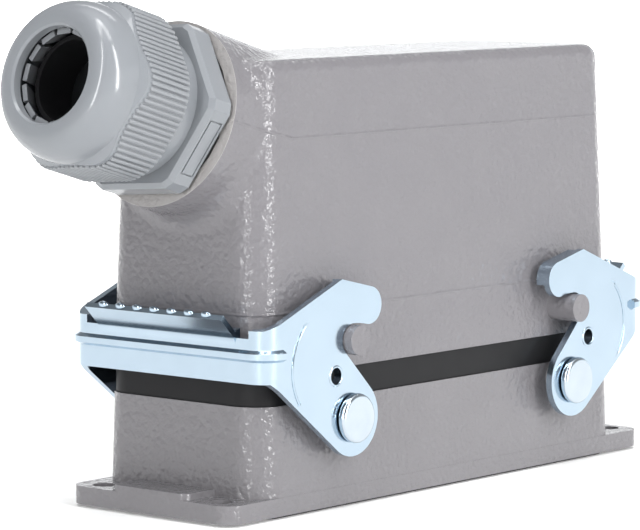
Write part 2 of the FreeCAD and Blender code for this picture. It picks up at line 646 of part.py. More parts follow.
def male_contacts():
    """Male contacts: terminal box at the wire side and a round pin in each socket."""
    contacts = []
    for x, y in contact_places():
        side = "channel - 2 * channel_slack"
        terminal = box("pin_terminal", (side, side, "terminal_height"), x, y, "male_top - terminal_height")
        tip = "tower_top - mating_gap - socket_depth + pin_tip_gap"
        pin_length = "male_top - terminal_height - (%s)" % tip
        pin = prism("pin", CONTACT_SIDES, "pin_diameter / 2", pin_length, x, y, tip)
        contacts.append(fuse("male_contact", [terminal, pin]))
    return group("male_contacts", contacts)


def screw(name, x, y, seat, length, head_up):
    """Slotted cheese-head screw whose head stands on seat; its shank runs the other way."""
    way = Z_AXIS if head_up else -Z_AXIS
    sign = "" if head_up else "-"
    head = prism(name + "_head", SCREW_SIDES, "screw_head / 2", "screw_head_height", x, y, seat, way)
    shank = prism(name + "_shank", SCREW_SIDES, "screw_diameter / 2", length, x, y, seat, -way)
    low = "(%s) + screw_head_height - slot_depth" if head_up else "(%s) - screw_head_height"
    slot = box(name + "_slot", ("screw_head + 1", "slot_width", "slot_depth"), x, y, low % seat)
    return cut(name, fuse(name + "_blank", [head, shank]), slot)


def insert_screws(name, seat, head_up):
    """Four screws that hold an insert in its housing."""
    return group(name, [screw("fixing_screw", x, y, seat, "screw_length", head_up)
                        for x, y in four_corners(SCREW_PITCH_LONG, SCREW_PITCH_SHORT)])


def earth_set(prefix, low, seat, head_up):
    """Two earth plates on an insert's ears and their screws."""
    blanks = [box(prefix + "_plate", ("plate_length", "plate_width", "plate_thickness"),
                  "%d * %s" % (side, PLATE_X), 0, low) for side in (-1, 1)]
    holes = [prism(prefix + "_plate_hole", SCREW_SIDES, "screw_diameter / 2", "plate_thickness + 2",
                   "%d * %s" % (side, PLATE_X), 0, "(%s) - 1" % low) for side in (-1, 1)]
    plates = [cut(prefix + "_plate_bored", blank, hole) for blank, hole in zip(blanks, holes)]
    group(prefix + "_earth_plates", plates)
    return group(prefix + "_earth_screws", [
        screw("earth_screw", "%d * %s" % (side, PLATE_X), 0, seat, "earth_screw_length", head_up)
        for side in (-1, 1)])


def pivot_rivets():
    """Four rivets that carry the levers: chamfered head, shank through the arm into the boss."""
    rivets = []
    for side, face in pivot_places():
        x = "%d * %s" % (side, PIVOT_X)
        seat = ARM_OUTER + " + running_gap"
        head = cylinder("rivet_head", "head_diameter / 2", "head_height - head_edge", x,
                        "%d * (%s)" % (face, seat), "pivot_z", outward(face))
        crown = cone("rivet_crown", "head_diameter / 2", "head_diameter / 2 - head_edge", "head_edge", x,
                     "%d * (%s + head_height - head_edge)" % (face, seat), "pivot_z", outward(face))
        shank = cylinder("rivet_shank", "shank_diameter / 2", "shank_reach + sheet + 2 * running_gap", x,
                         "%d * (%s)" % (face, SHANK_START), "pivot_z", outward(face))
        rivets.append(fuse("pivot_rivet", [head, crown, shank]))
    return group("pivot_rivets", rivets)


def gland_seal_ring():
    """Flat rubber ring between the neck's face and the gland's hexagon."""
    thickness = val("ring_thickness")
    outer = turned_with_flats([(val("thread_radius") + val("ring_width"), 0),
                               (val("thread_radius") + val("ring_width"), thickness)])
    inner = turned_with_flats([(val("thread_radius"), -1), (val("thread_radius"), thickness + 1)])
    return on_gland(feature("gland_o_ring", outer.cut(inner)))


def ring_of_points(reaches, height):
    """Points round the gland's axis at one height, evenly turned, each at its own reach."""
    start = math.radians(val("gland_phase"))
    turns = [start + 2 * math.pi * step / len(reaches) for step in range(len(reaches))]
    return [Vec(reach * math.cos(turn), reach * math.sin(turn), height)
            for reach, turn in zip(reaches, turns)]


def prism_on_axis(reaches, low, high):
    """Prism along the gland's axis whose outline has one corner at each reach."""
    outline = ring_of_points(reaches, low)
    return Part.Face(Part.makePolygon(outline + outline[:1])).extrude(Vec(0, 0, high - low))


def hexagon(flats, low, high):
    """Hexagonal prism along the gland's axis with sharp corners."""
    return prism_on_axis([flats / math.sqrt(3)] * 6, low, high)


def ribbed_hexagon(flats, corner, low, high):
    """Hexagonal prism with corners cut back to a circle and fine ribs all round."""
    count = 2 * int(val("rib_count"))
    reaches = []
    for step in range(count):
        from_corner = (step * 2 * math.pi / count) % (math.pi / 3)
        to_flat = flats / 2 / math.cos(from_corner - math.pi / 6)
        reaches.append(min(to_flat, corner) - (step % 2) * val("rib_depth"))
    return prism_on_axis(reaches, low, high)


def solid_through(rings):
    """Solid with flat faces through rings of as many points, one above the other."""
    faces = [Part.Face(Part.makePolygon(ring + ring[:1])) for ring in (rings[0], rings[-1])]
    for low, high in zip(rings, rings[1:]):
        for step in range(len(low)):
            corners = [low[step - 1], low[step], high[step], high[step - 1]]
            faces.append(Part.Face(Part.makePolygon(corners + corners[:1])))
    return Part.Solid(Part.Shell(faces))


def turned_with_flats(points):
    """Hidden round form: flats whose middles lie at each (radius, height)."""
    reach = 1 / math.cos(math.pi / HIDDEN_SIDES)
    return solid_through([ring_of_points([radius * reach] * HIDDEN_SIDES, height)
                          for radius, height in points])


def turned_profile(points):
    """Solid turned about the gland's axis from (radius, height) points, closed along the axis."""
    outline = [Vec(radius, 0, height) for radius, height in points]
    outline = [Vec(0, 0, outline[0].z)] + outline + [Vec(0, 0, outline[-1].z)]
    face = Part.Face(Part.makePolygon(outline + outline[:1]))
    return face.revolve(Vec(), Z_AXIS, 360)


def gland_stations():
    """Distances along the gland's axis from the neck's face, by name."""
    at = {"hex_foot": val("ring_thickness")}
    at["hex_top"] = at["hex_foot"] + val("hex_height")
    at["spigot_foot"] = at["hex_top"] + val("collar_length")
    at["spigot_top"] = at["spigot_foot"] + val("spigot_length")
    at["nut_foot"] = at["spigot_foot"] + val("nut_slack")
    at["rib_top"] = at["nut_foot"] + val("nut_rib_length")
    at["nut_top"] = at["nut_foot"] + val("nut_length")
    return at


def gland_body():
    """Gland body: thread in the neck, spanner hexagon, smooth collar, spigot inside the nut."""
    at = gland_stations()
    corner, chamfer = val("hex_corner"), val("hex_chamfer")
    turned = turned_profile([(corner - chamfer, at["hex_foot"]), (corner, at["hex_foot"] + chamfer),
                             (corner, at["hex_top"] - chamfer), (corner - chamfer, at["hex_top"])])
    spanner = hexagon(val("hex_flats"), at["hex_foot"], at["hex_top"]).common(turned)
    low, top = -val("thread_length"), at["spigot_top"]
    inside = math.cos(math.pi / HIDDEN_SIDES)
    thread = (val("thread_radius") - val("thread_slack")) * inside
    spigot = val("spigot_radius") * inside
    core = turned_with_flats([(thread, low), (thread, at["hex_foot"] + 1)])
    collar = Part.makeCylinder(val("collar_radius"), val("collar_length"), Vec(0, 0, at["hex_top"]))
    end = turned_with_flats([(spigot, at["spigot_foot"] - 1), (spigot, top)])
    bore = turned_with_flats([(val("spigot_bore"), low - 1), (val("spigot_bore"), top + 1)])
    body = core.fuse([spanner, collar, end]).removeSplitter().cut(bore)
    return on_gland(feature("gland_body", body))


def nut_inside():
    """Space inside the dome nut: round the spigot, round the cage, mouth and its chamfer."""
    at = gland_stations()
    wide = val("spigot_radius") + val("nut_slack")
    mouth, chamfer = val("mouth_radius"), val("mouth_chamfer")
    cone_top = at["nut_top"] - val("mouth_land")
    hidden = turned_with_flats([(wide, at["nut_foot"]), (wide, at["spigot_top"] + val("nut_slack")),
                                (val("cage_tip"), cone_top)])
    seen = turned_profile([(mouth, cone_top), (mouth, at["nut_top"] - chamfer),
                           (mouth + chamfer, at["nut_top"])])
    return [hidden, seen]


def corner_bevels(reach):
    """Tool that bevels the hexagon's corners at both ends: six flat-sided tapers, turned to face them."""
    at = gland_stations()
    flat_reach = 1 / math.cos(math.pi / 6)
    ends = [(at["nut_foot"], reach - val("nut_bevel_foot")), (at["nut_foot"] + val("nut_bevel_foot"), reach),
            (at["rib_top"] - val("nut_bevel_top"), reach), (at["rib_top"], reach - val("nut_bevel_top"))]
    between = FreeCAD.Rotation(Z_AXIS, HEX_TURN / 2)
    rings = [ring_of_points([apothem * flat_reach] * 6, height) for height, apothem in ends]
    return solid_through([[between.multVec(point) for point in ring] for ring in rings])


def dome_nut():
    """Dome nut: ribbed hexagon with bevelled corners, smooth dome and chamfered mouth."""
    at = gland_stations()
    flats, corner = val("nut_flats"), val("nut_corner")
    ribbed = ribbed_hexagon(flats, corner, at["nut_foot"], at["rib_top"]).common(corner_bevels(corner))
    foot = Vec(flats / 2 - val("dome_inset"), 0, at["rib_top"])
    front = Vec(val("mouth_radius") + val("mouth_chamfer") + val("dome_edge"), 0, at["nut_top"])
    middle = Vec(front.x + (foot.x - front.x) * DOME_BULGE, 0, foot.z + (front.z - foot.z) * DOME_BULGE)
    bands = Part.Arc(foot, middle, front).discretize(int(val("dome_bands")) + 1)
    turned = turned_profile([(point.x, point.z) for point in bands])
    return on_gland(feature("dome_nut", ribbed.fuse(turned).cut(nut_inside())))


def clamp_cage():
    """Cage that squeezes the bush: a closed ring at its foot and flat fingers that lean inwards."""
    at = gland_stations()
    count = int(val("cage_count"))
    wide, wall, tip = val("spigot_radius") - val("nut_slack"), val("cage_wall"), val("cage_tip")
    foot, front = at["spigot_top"], at["nut_top"] - val("cage_depth")
    ring_top = foot + val("cage_collar")
    ring = prism_on_axis([wide] * 2 * count, foot, ring_top).cut(
        prism_on_axis([wide - wall] * 2 * count, foot, ring_top))
    blade = Part.Face(Part.makePolygon([
        Vec(wide - wall, 0, foot), Vec(wide - wall / 4, 0, foot), Vec(wide - wall / 4, 0, ring_top),
        Vec(tip, 0, front),
        Vec(tip - wall, 0, front), Vec(wide - wall, 0, ring_top), Vec(wide - wall, 0, foot)]))
    width = val("finger_width")
    fingers = []
    for step in range(count):
        finger = blade.extrude(Vec(0, width, 0))
        finger.translate(Vec(0, -width / 2, 0))
        finger.rotate(Vec(), Z_AXIS, val("gland_phase") + 360.0 * step / count)
        fingers.append(finger)
    return on_gland(feature("clamp_cage", ring.fuse(fingers).removeSplitter()))


def gland_bush():
    """Rubber bush that the cage squeezes onto the cable."""
    at = gland_stations()
    top = at["nut_top"] - val("bush_depth")
    wide = val("spigot_bore") - val("bush_slack")
    low = top - val("bush_length")
    inside = math.cos(math.pi / HIDDEN_SIDES)
    outer = turned_with_flats([(wide * inside, low), (wide * inside, top - val("bush_taper")),
                               (val("bush_tip") * inside, top)])
    bore = Part.makeCylinder(val("bush_bore"), val("bush_length"), Vec(0, 0, low))
    return on_gland(feature("gland_seal", outer.cut(bore)))


def polar(centre, radius, degrees):
    """Point on a circle that faces along Y, its angle counted from +X towards +Z."""
    angle = math.radians(degrees)
    return centre + Vec(radius * math.cos(angle), 0, radius * math.sin(angle))


def arc(centre, radius, first, last):
    """Arc of the XZ plane from one angle to another, through the angle halfway."""
    ends = [polar(centre, radius, angle) for angle in (first, (first + last) / 2, last)]
    return Part.Arc(*ends).toShape()


def tangent_angle(point, centre, radius, side):
    """Angle on a circle where a line from an outside point touches it."""
    away = math.hypot(point.x - centre.x, point.z - centre.z)
    heading = math.degrees(math.atan2(point.z - centre.z, point.x - centre.x))
    return heading + side * math.degrees(math.acos(radius / away))


def arm_outline():
    """Side outline of the left lever in the XZ plane: web edge, pivot end, notch for the peg, hook."""
    pivot = Vec(-pivot_x(), 0, val("pivot_z"))
    peg = pivot + Vec(0, 0, val("peg_rise"))
    end_radius = val("arm_end_radius")
    notch = val("peg_diameter") / 2 + val("running_gap")
    reach = val("peg_rise") + notch
    tip_radius = val("tip_radius")
    tip = polar(pivot, reach + tip_radius, 90 - val("tip_angle"))
    web = -web_outer()
    low_start = Vec(web, 0, val("web_low"))
    low_bend = Vec(web + val("web_low_land"), 0, val("web_low"))
    low_touch = tangent_angle(low_bend, pivot, end_radius, 1)
    lip = peg - Vec(val("notch_corner_lead"), 0, val("notch_corner_drop"))
    right_touch = val("arm_end_turn")
    notch_start = val("notch_turn")
    top = Vec(-pivot_x() - val("arm_top_lead"), 0, val("arm_top"))
    top_touch = tangent_angle(top, tip, tip_radius, -1)
    high_start = Vec(web, 0, val("web_high"))
    high_bend = Vec(web + val("web_high_land"), 0, val("web_high"))
    notch_entry = polar(peg, notch, notch_start)
    edges = [
        Part.makeLine(low_start, low_bend),
        Part.makeLine(low_bend, polar(pivot, end_radius, low_touch)),
        arc(pivot, end_radius, low_touch, FULL_TURN + right_touch),
        Part.makeLine(polar(pivot, end_radius, right_touch), lip),
        Part.makeLine(lip, notch_entry),
        arc(peg, notch, notch_start, UPRIGHT),
        arc(pivot, reach, UPRIGHT, UPRIGHT - val("tip_angle")),
        arc(tip, tip_radius, FULL_TURN - UPRIGHT - val("tip_angle"), FULL_TURN + top_touch),
        Part.makeLine(polar(tip, tip_radius, top_touch), top),
        Part.makeLine(top, high_bend),
        Part.makeLine(high_bend, high_start),
        Part.makeLine(high_start, low_start)]
    return Part.Wire(edges)


def folded_path(inset, turn):
    """Plan path of the folded sheet: along one arm, round the web, along the other arm."""
    web = -web_outer() + inset
    arm = arm_outer() - inset
    radius = turn - inset
    end = -pivot_x() + val("arm_reach")
    slant = radius * (1 - math.sqrt(0.5))
    return [
        Part.makeLine(Vec(end, -arm, 0), Vec(web + radius, -arm, 0)),
        Part.Arc(Vec(web + radius, -arm, 0), Vec(web + slant, -arm + slant, 0),
                 Vec(web, -arm + radius, 0)).toShape(),
        Part.makeLine(Vec(web, -arm + radius, 0), Vec(web, arm - radius, 0)),
        Part.Arc(Vec(web, arm - radius, 0), Vec(web + slant, arm - slant, 0),
                 Vec(web + radius, arm, 0)).toShape(),
        Part.makeLine(Vec(web + radius, arm, 0), Vec(end, arm, 0))]


def lever_plan():
    """Plan of the folded sheet, from its outer to its inner face."""
    turn = val("lever_bend")
    outer, inner = folded_path(0, turn), folded_path(val("sheet"), turn)
    first, last = outer[0].Vertexes[0].Point, outer[-1].Vertexes[-1].Point
    inner_first, inner_last = inner[0].Vertexes[0].Point, inner[-1].Vertexes[-1].Point
    ends = [Part.makeLine(last, inner_last), Part.makeLine(inner_first, first)]
    wire = Part.Wire(Part.__sortEdges__(outer + inner + ends))
    return Part.Face(wire)


def bead():
    """Raised bead with bevelled sides that follows the outside of the folded sheet at one height."""
    path = folded_path(0, val("lever_bend"))
    limit = -web_outer() + val("bead_reach")
    arm = arm_outer()
    path[0] = Part.makeLine(Vec(limit, -arm, 0), path[1].Vertexes[0].Point)
    path[-1] = Part.makeLine(path[-2].Vertexes[-1].Point, Vec(limit, arm, 0))
    half, proud, buried = val("bead_width") / 2, val("bead_proud"), val("sheet") / 2
    section = Part.makePolygon([
        Vec(limit, -arm + buried, -half), Vec(limit, -arm, -half), Vec(limit, -arm - proud, -half / 2),
        Vec(limit, -arm - proud, half / 2), Vec(limit, -arm, half), Vec(limit, -arm + buried, half),
        Vec(limit, -arm + buried, -half)])
    rail = Part.Wire(path).makePipeShell([section], True, False)
    rail.translate(Vec(0, 0, val("bead_height")))
    return rail


def grip_lip():
    """Lip of sheet that curves out of the web along its top, in the XZ plane, then drawn along Y."""
    lean, bend, wall = val("lip_lean"), val("lip_bend"), val("lip_wall")
    centre = Vec(-web_outer() - bend, 0, val("web_high") - val("lip_drop"))
    across = polar(Vec(), 1, lean)
    along = polar(Vec(), 1, lean + 90)
    straight = (val("lip_reach") - bend + bend * across.x) / across.z
    touch, back = centre + across * bend, centre + across * (bend + wall)
    outline = Part.Wire([
        arc(centre, bend, 0, lean),
        Part.makeLine(touch, touch + along * straight),
        Part.makeLine(touch + along * straight, back + along * straight),
        Part.makeLine(back + along * straight, back),
        arc(centre, bend + wall, lean, 0),
        Part.makeLine(centre + Vec(bend + wall, 0, 0), centre + Vec(bend, 0, 0))])
    length = val("base_width") - 2 * val("lip_inset")
    solid = Part.Face(outline).extrude(Vec(0, length, 0))
    solid.translate(Vec(0, -length / 2, 0))
    return solid


def lip_reliefs():
    """Notches in the web's upper edge between the lip's ends and the bends."""
    width, depth = val("relief_width"), val("relief_depth")
    lip_end = val("base_width") / 2 - val("lip_inset")
    corner = Vec(-web_outer() - 1, lip_end, val("web_high") - depth)
    notch = Part.makeBox(val("sheet") + 2, width, depth + 1, corner)
    return [notch, notch.mirror(Vec(), Y_AXIS)]


def hook_flange(outline):
    """Flange bent towards the hood round the top and tip of each hook."""
    rim = Part.Face(outline)
    wall = val("hook_flange_wall")
    inner = rim.makeOffset2D(-wall)
    strip = rim.cut(inner)
    reach = val("arm_top")
    corner = Vec(-pivot_x() - val("arm_top_lead") + val("flange_start"), -wall,
                 val("pivot_z") + val("peg_rise") + val("flange_rise"))
    strip = strip.common(Part.makeBox(reach, 2 * wall, reach, corner))
    depth = val("hook_flange")
    near = strip.extrude(Vec(0, depth, 0))
    near.translate(Vec(0, -arm_outer() + val("sheet") / 2, 0))
    return near


def lever_shape():
    """Left locking lever: one folded, beaded sheet with hooks, collared eyes and a grip lip."""
    outline = arm_outline()
    reach = 2 * arm_outer() + 2
    side = Part.Face(outline).extrude(Vec(0, reach, 0))
    side.translate(Vec(0, -reach / 2, 0))
    plan = lever_plan().extrude(Vec(0, 0, val("arm_top") + 1))
    sheet_metal = plan.common(side)
    sheet_metal = sheet_metal.cut(lip_reliefs()).fuse([bead(), grip_lip()])
    flange = hook_flange(outline)
    mirrored = flange.mirror(Vec(), Y_AXIS)
    eye = Vec(-pivot_x() - val("eye_lead"), 0, val("pivot_z") + val("eye_rise"))
    collars = []
    for face in (-1, 1):
        start = eye + Vec(0, face * (arm_outer() - val("sheet") - val("eye_collar")), 0)
        ring = [polar(start, val("eye_diameter") / 2 + val("eye_collar"), FULL_TURN * step / COLLAR_SIDES)
                for step in range(COLLAR_SIDES)]
        depth = val("eye_collar") + val("sheet") / 2
        collars.append(Part.Face(Part.makePolygon(ring + ring[:1])).extrude(outward(face) * depth))
    holes = [Part.makeCylinder(val("eye_diameter") / 2, reach, eye - Vec(0, reach / 2, 0), Y_AXIS),
             Part.makeCylinder(val("shank_diameter") / 2 + val("shank_slack"), reach,
                               Vec(-pivot_x(), -reach / 2, val("pivot_z")), Y_AXIS)]
    return sheet_metal.fuse([flange, mirrored] + collars).cut(holes).removeSplitter()


def levers():
    """The two locking levers, the right one a mirror image of the left."""
    left = feature("lever_left", lever_shape())
    right = doc.addObject("Part::Mirroring", "lever_right")
    right.Source = left
    right.Base = Vec()
    right.Normal = Vec(1, 0, 0)


def build():
    """Make every sub-part in the document."""
    base_housing()
    flange_gasket()
    rim_seal()
    pivot_rivets()
    hood()
    female_insert()
    female_contacts()
    insert_screws("female_insert_screws", "female_ear_z + ear_height", True)
    earth_set("female", "female_ear_z + ear_height", "female_ear_z + ear_height + plate_thickness", True)
    male_insert()
    male_contacts()
    insert_screws("male_insert_screws", "male_ear_z", False)
    earth_set("male", "male_ear_z - plate_thickness", "male_ear_z - plate_thickness", False)
    gland_seal_ring()
    gland_body()
    dome_nut()
    clamp_cage()
    gland_bush()
    levers()
    doc.recompute()


SUBPARTS = (
    "base_housing", "flange_gasket", "rim_seal", "pivot_rivets", "hood",
    "female_insert", "female_contacts", "female_insert_screws", "female_earth_plates", "female_earth_screws",
    "male_insert", "male_contacts", "male_insert_screws", "male_earth_plates", "male_earth_screws",
    "gland_o_ring", "gland_body", "dome_nut", "clamp_cage", "gland_seal", "lever_left", "lever_right")


def check():
    """Stop if any object failed or any sub-part is not the sound solids it should be."""
    for thing in doc.Objects:
        if "Invalid" in thing.State or "Error" in thing.State:
            raise RuntimeError("object failed: " + thing.Name)
    for name in SUBPARTS:
        shape = doc.getObject(name).Shape
        if shape.isNull() or not shape.isValid() or len(shape.Solids) < 1:
            raise RuntimeError("bad shape: " + name)


def export():
    """Write each sub-part to its own file, named after its label."""
    os.makedirs("parts", exist_ok=True)
    for name in SUBPARTS:
        thing = doc.getObject(name)
        thing.Label = name
        thing.Shape.exportStep("parts/" + name + ".step")
        bounds = thing.Shape.BoundBox
        print(name, len(thing.Shape.Solids), "solids,", round(thing.Shape.Volume), "mm3, top",
              round(bounds.ZMax, 1))


build()
check()
export()
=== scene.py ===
"""Looks of a heavy duty rectangular connector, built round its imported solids.

The frame is the solids' own: +X along the connector, away from the cable gland, +Z up out of the panel, the
origin between the four mounting holes. Blender's lengths are metres; sizes in millimetres are marked as such.
"""
from __future__ import annotations

import logging
import math
from dataclasses import dataclass
from enum import Enum
from typing import Callable, Iterable

import bpy
from mathutils import Matrix, Vector

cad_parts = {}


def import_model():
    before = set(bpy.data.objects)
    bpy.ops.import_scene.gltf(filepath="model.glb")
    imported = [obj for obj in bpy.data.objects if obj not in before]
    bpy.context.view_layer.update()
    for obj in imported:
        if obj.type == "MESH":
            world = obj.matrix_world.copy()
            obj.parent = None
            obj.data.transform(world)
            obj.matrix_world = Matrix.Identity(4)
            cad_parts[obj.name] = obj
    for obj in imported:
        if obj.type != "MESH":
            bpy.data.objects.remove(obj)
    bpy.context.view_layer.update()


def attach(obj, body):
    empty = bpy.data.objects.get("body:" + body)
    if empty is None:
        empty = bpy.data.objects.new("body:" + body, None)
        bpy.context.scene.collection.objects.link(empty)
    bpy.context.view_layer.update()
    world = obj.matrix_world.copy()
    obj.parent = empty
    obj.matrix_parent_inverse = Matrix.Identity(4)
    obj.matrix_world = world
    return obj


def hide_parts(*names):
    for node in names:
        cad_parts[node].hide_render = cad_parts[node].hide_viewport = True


Piece = bpy.types.Object
Tree = bpy.types.NodeTree
Socket = bpy.types.NodeSocket
Pair = tuple[float, float]
Triple = tuple[float, float, float]

LOG = logging.getLogger("connector")
MM = 0.001

# Edges flatter than this, in degrees, are shaded smooth on a piece with rounded edges
SMOOTH_DEG = 38.0
# The same for small turned or pressed forms
SMALL_SMOOTH_DEG = 60.0
# Share of face size in the weighted normals, in per cent
NORMAL_WEIGHT = 60
# A solid's loose triangles meet within this many metres
MERGE_GAP = 2e-6
# Triangles of one flat face differ by less than this, in degrees
FLAT_DEG = 0.4
# A vertex is told by its place within this many metres
SAME_PLACE = 1e-6
# How far a cutting tool runs past what it cuts, in millimetres
CUT_PAST = 1.0
# Angle between two corners of a hexagon, and half of it, in radians
SIXTH = math.pi / 3
TWELFTH = math.pi / 6
# Places of the two colours and of the result on a Mix node
MIX_FIRST, MIX_SECOND, MIX_RESULT = 6, 7, 2


# Geometry helpers


def gland_frame() -> Matrix:
    """Frame of the cable entry: its Z runs out of the neck along the cable, from the neck's face."""
    tilt = math.radians(Gland.tilt_deg)
    turn = Matrix.Rotation(math.pi / 2 - tilt, 4, Vector((0, -1, 0)))
    return Matrix.Translation(Vector((Gland.neck_x * MM, 0, Gland.neck_z * MM))) @ turn


def select_only(piece: Piece) -> None:
    """Select one object and make it active.

    Args:
        piece: the object.
    """
    bpy.ops.object.select_all(action="DESELECT")
    piece.select_set(True)
    bpy.context.view_layer.objects.active = piece


def editing(piece: Piece, *steps: Callable[[], object]) -> Piece:
    """Run operators on the whole of a mesh in edit mode.

    Args:
        piece: the mesh to work on.
        steps: operators to run in order, each with everything selected.

    Returns:
        The same piece, back in object mode.
    """
    select_only(piece)
    bpy.ops.object.mode_set(mode="EDIT")
    for step in steps:
        bpy.ops.mesh.select_all(action="SELECT")
        step()
    bpy.ops.object.mode_set(mode="OBJECT")
    return piece


def edit_edges(piece: Piece, wanted: Callable[[list[Vector]], bool], step: Callable[[], object]) -> None:
    """Run an operator in edit mode on some edges of a mesh.

    Args:
        piece: the mesh.
        wanted: test on the places of an edge's two ends.
        step: the operator.
    """
    select_only(piece)
    bpy.ops.object.mode_set(mode="EDIT")
    bpy.ops.mesh.select_mode(type="EDGE")
    bpy.ops.mesh.select_all(action="DESELECT")
    bpy.ops.object.mode_set(mode="OBJECT")
    for edge in piece.data.edges:
        edge.select = wanted([piece.data.vertices[index].co for index in edge.vertices])
    bpy.ops.object.mode_set(mode="EDIT")
    step()
    bpy.ops.object.mode_set(mode="OBJECT")


def add_mesh(maker: Callable[..., object], height: float = 0.0, **settings: object) -> Piece:
    """Add one of Blender's own meshes on the Z axis.

    Args:
        maker: the operator that adds it.
        height: where its middle stands, in metres.
        settings: the operator's own settings.

    Returns:
        The new piece.
    """
    bpy.ops.object.select_all(action="DESELECT")
    maker(location=(0, 0, height), **settings)
    return bpy.context.object


def apply_modifier(piece: Piece, kind: str, **settings: object) -> Piece:
    """Add a modifier, set it and apply it.

    Args:
        piece: the mesh to change.
        kind: Blender's name for the modifier.
        settings: its properties.

    Returns:
        The same piece.
    """
    select_only(piece)
    modifier = piece.modifiers.new(kind.lower(), kind)
    for name, value in settings.items():
        setattr(modifier, name, value)
    bpy.ops.object.modifier_apply(modifier=modifier.name)
    return piece


def smooth(piece: Piece, angle_deg: float = SMOOTH_DEG) -> Piece:
    """Shade a piece smooth, apart from its sharp edges.

    Args:
        piece: the mesh.
        angle_deg: edges sharper than this stay sharp.

    Returns:
        The same piece.
    """
    select_only(piece)
    bpy.ops.object.shade_smooth_by_angle(angle=math.radians(angle_deg))
    return piece


def round_edges(piece: Piece, width: float, segments: int = 2, limit_deg: float = 30.0) -> Piece:
    """Round the sharp edges of a piece and smooth what is left.

    Args:
        piece: the mesh.
        width: width of the rounding in millimetres.
        segments: faces across the rounding.
        limit_deg: edges sharper than this are rounded.

    Returns:
        The same piece.
    """
    apply_modifier(piece, "BEVEL", width=width * MM, segments=segments, limit_method="ANGLE",
                   angle_limit=math.radians(limit_deg), miter_outer="MITER_ARC", harden_normals=False)
    smooth(piece)
    return apply_modifier(piece, "WEIGHTED_NORMAL", keep_sharp=True, weight=NORMAL_WEIGHT)


def merged_copy(node: str, name: str) -> Piece:
    """Copy a solid's loose triangles as one joined mesh whose flat faces are whole.

    Args:
        node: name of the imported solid.
        name: name of the copy.

    Returns:
        The copy, in place.
    """
    mesh = bpy.data.objects[node].data.copy()
    mesh.name = name
    piece = bpy.data.objects.new(name, mesh)
    bpy.context.scene.collection.objects.link(piece)
    select_only(piece)
    if mesh.has_custom_normals:
        bpy.ops.mesh.customdata_custom_splitnormals_clear()
    editing(piece, lambda: bpy.ops.mesh.remove_doubles(threshold=MERGE_GAP),
            lambda: bpy.ops.mesh.dissolve_limited(angle_limit=math.radians(FLAT_DEG)))
    return piece


def turned(name: str, profile: list[Pair], segments: int = 96, closed: bool = True) -> Piece:
    """Turn a profile about Z by extruding and resizing a circle, as on a lathe.

    Args:
        name: name of the piece.
        profile: (radius, height) points in millimetres, in order.
        segments: sides of the circle.
        closed: join the last ring to the first, for a ring; otherwise cap both ends.

    Returns:
        The new piece.
    """
    radius, height = profile[0]
    piece = add_mesh(bpy.ops.mesh.primitive_circle_add, vertices=segments, radius=radius * MM,
                     fill_type="NOTHING" if closed else "NGON")
    piece.name = piece.data.name = name
    bpy.ops.object.mode_set(mode="EDIT")
    bpy.ops.mesh.select_mode(type="EDGE")
    bpy.ops.mesh.select_all(action="SELECT")
    bpy.ops.transform.translate(value=(0, 0, height * MM))
    for next_radius, next_height in profile[1:]:
        climb = (0, 0, (next_height - height) * MM)
        bpy.ops.mesh.extrude_edges_move(TRANSFORM_OT_translate={"value": climb})
        share = next_radius / radius
        bpy.ops.transform.resize(value=(share, share, 1))
        radius, height = next_radius, next_height
    if not closed:
        bpy.ops.mesh.edge_face_add()
    bpy.ops.object.mode_set(mode="OBJECT")

    def on_end(ends: list[Vector]) -> bool:
        """Whether an edge is on the first or the last ring."""
        return any(all(abs(end.z - height * MM) < SAME_PLACE
                       and abs(end.xy.length - radius * MM) < SAME_PLACE for end in ends)
                   for radius, height in (profile[0], profile[-1]))
    if closed:
        edit_edges(piece, on_end, bpy.ops.mesh.bridge_edge_loops)
    return editing(piece, lambda: bpy.ops.mesh.normals_make_consistent(inside=False))


def rounded_box(name: str, size: Triple, edge: float, segments: int = 2) -> Piece:
    """A block with rounded edges about the origin.

    Args:
        name: name of the piece.
        size: its sides in millimetres.
        edge: rounding in millimetres.
        segments: faces across the rounding.

    Returns:
        The new piece.
    """
    piece = add_mesh(bpy.ops.mesh.primitive_cube_add, size=1)
    piece.name = piece.data.name = name

    def shape() -> None:
        """Stretch the cube and round its edges."""
        bpy.ops.transform.resize(value=tuple(side * MM for side in size))
        bpy.ops.mesh.bevel(offset=edge * MM, segments=segments, affect="EDGES")
    return editing(piece, shape)


def put(piece: Piece, place: Matrix) -> Piece:
    """Move a piece and write its place into its mesh.

    Args:
        piece: the mesh.
        place: the matrix that moves it.

    Returns:
        The same piece.
    """
    piece.matrix_world = place @ piece.matrix_world
    select_only(piece)
    bpy.ops.object.transform_apply(location=True, rotation=True, scale=True)
    return piece


def join(name: str, pieces: Iterable[Piece]) -> Piece:
    """Join several pieces into one mesh.

    Args:
        name: name of the result.
        pieces: what is joined.

    Returns:
        The joined piece.
    """
    pieces = list(pieces)
    bpy.ops.object.select_all(action="DESELECT")
    for piece in pieces:
        piece.select_set(True)
    bpy.context.view_layer.objects.active = pieces[0]
    if len(pieces) > 1:
        bpy.ops.object.join()
    whole = bpy.context.view_layer.objects.active
    whole.name = whole.data.name = name
    return whole


def boolean(piece: Piece, tool: Piece, operation: str) -> Piece:
    """Combine a piece with a tool and remove the tool.

    Args:
        piece: the mesh that is kept.
        tool: the mesh that cuts it.
        operation: "INTERSECT" or "DIFFERENCE".

    Returns:
        The same piece.
    """
    apply_modifier(piece, "BOOLEAN", object=tool, operation=operation, solver="EXACT")
    bpy.data.objects.remove(tool)
    return piece


# Finishes


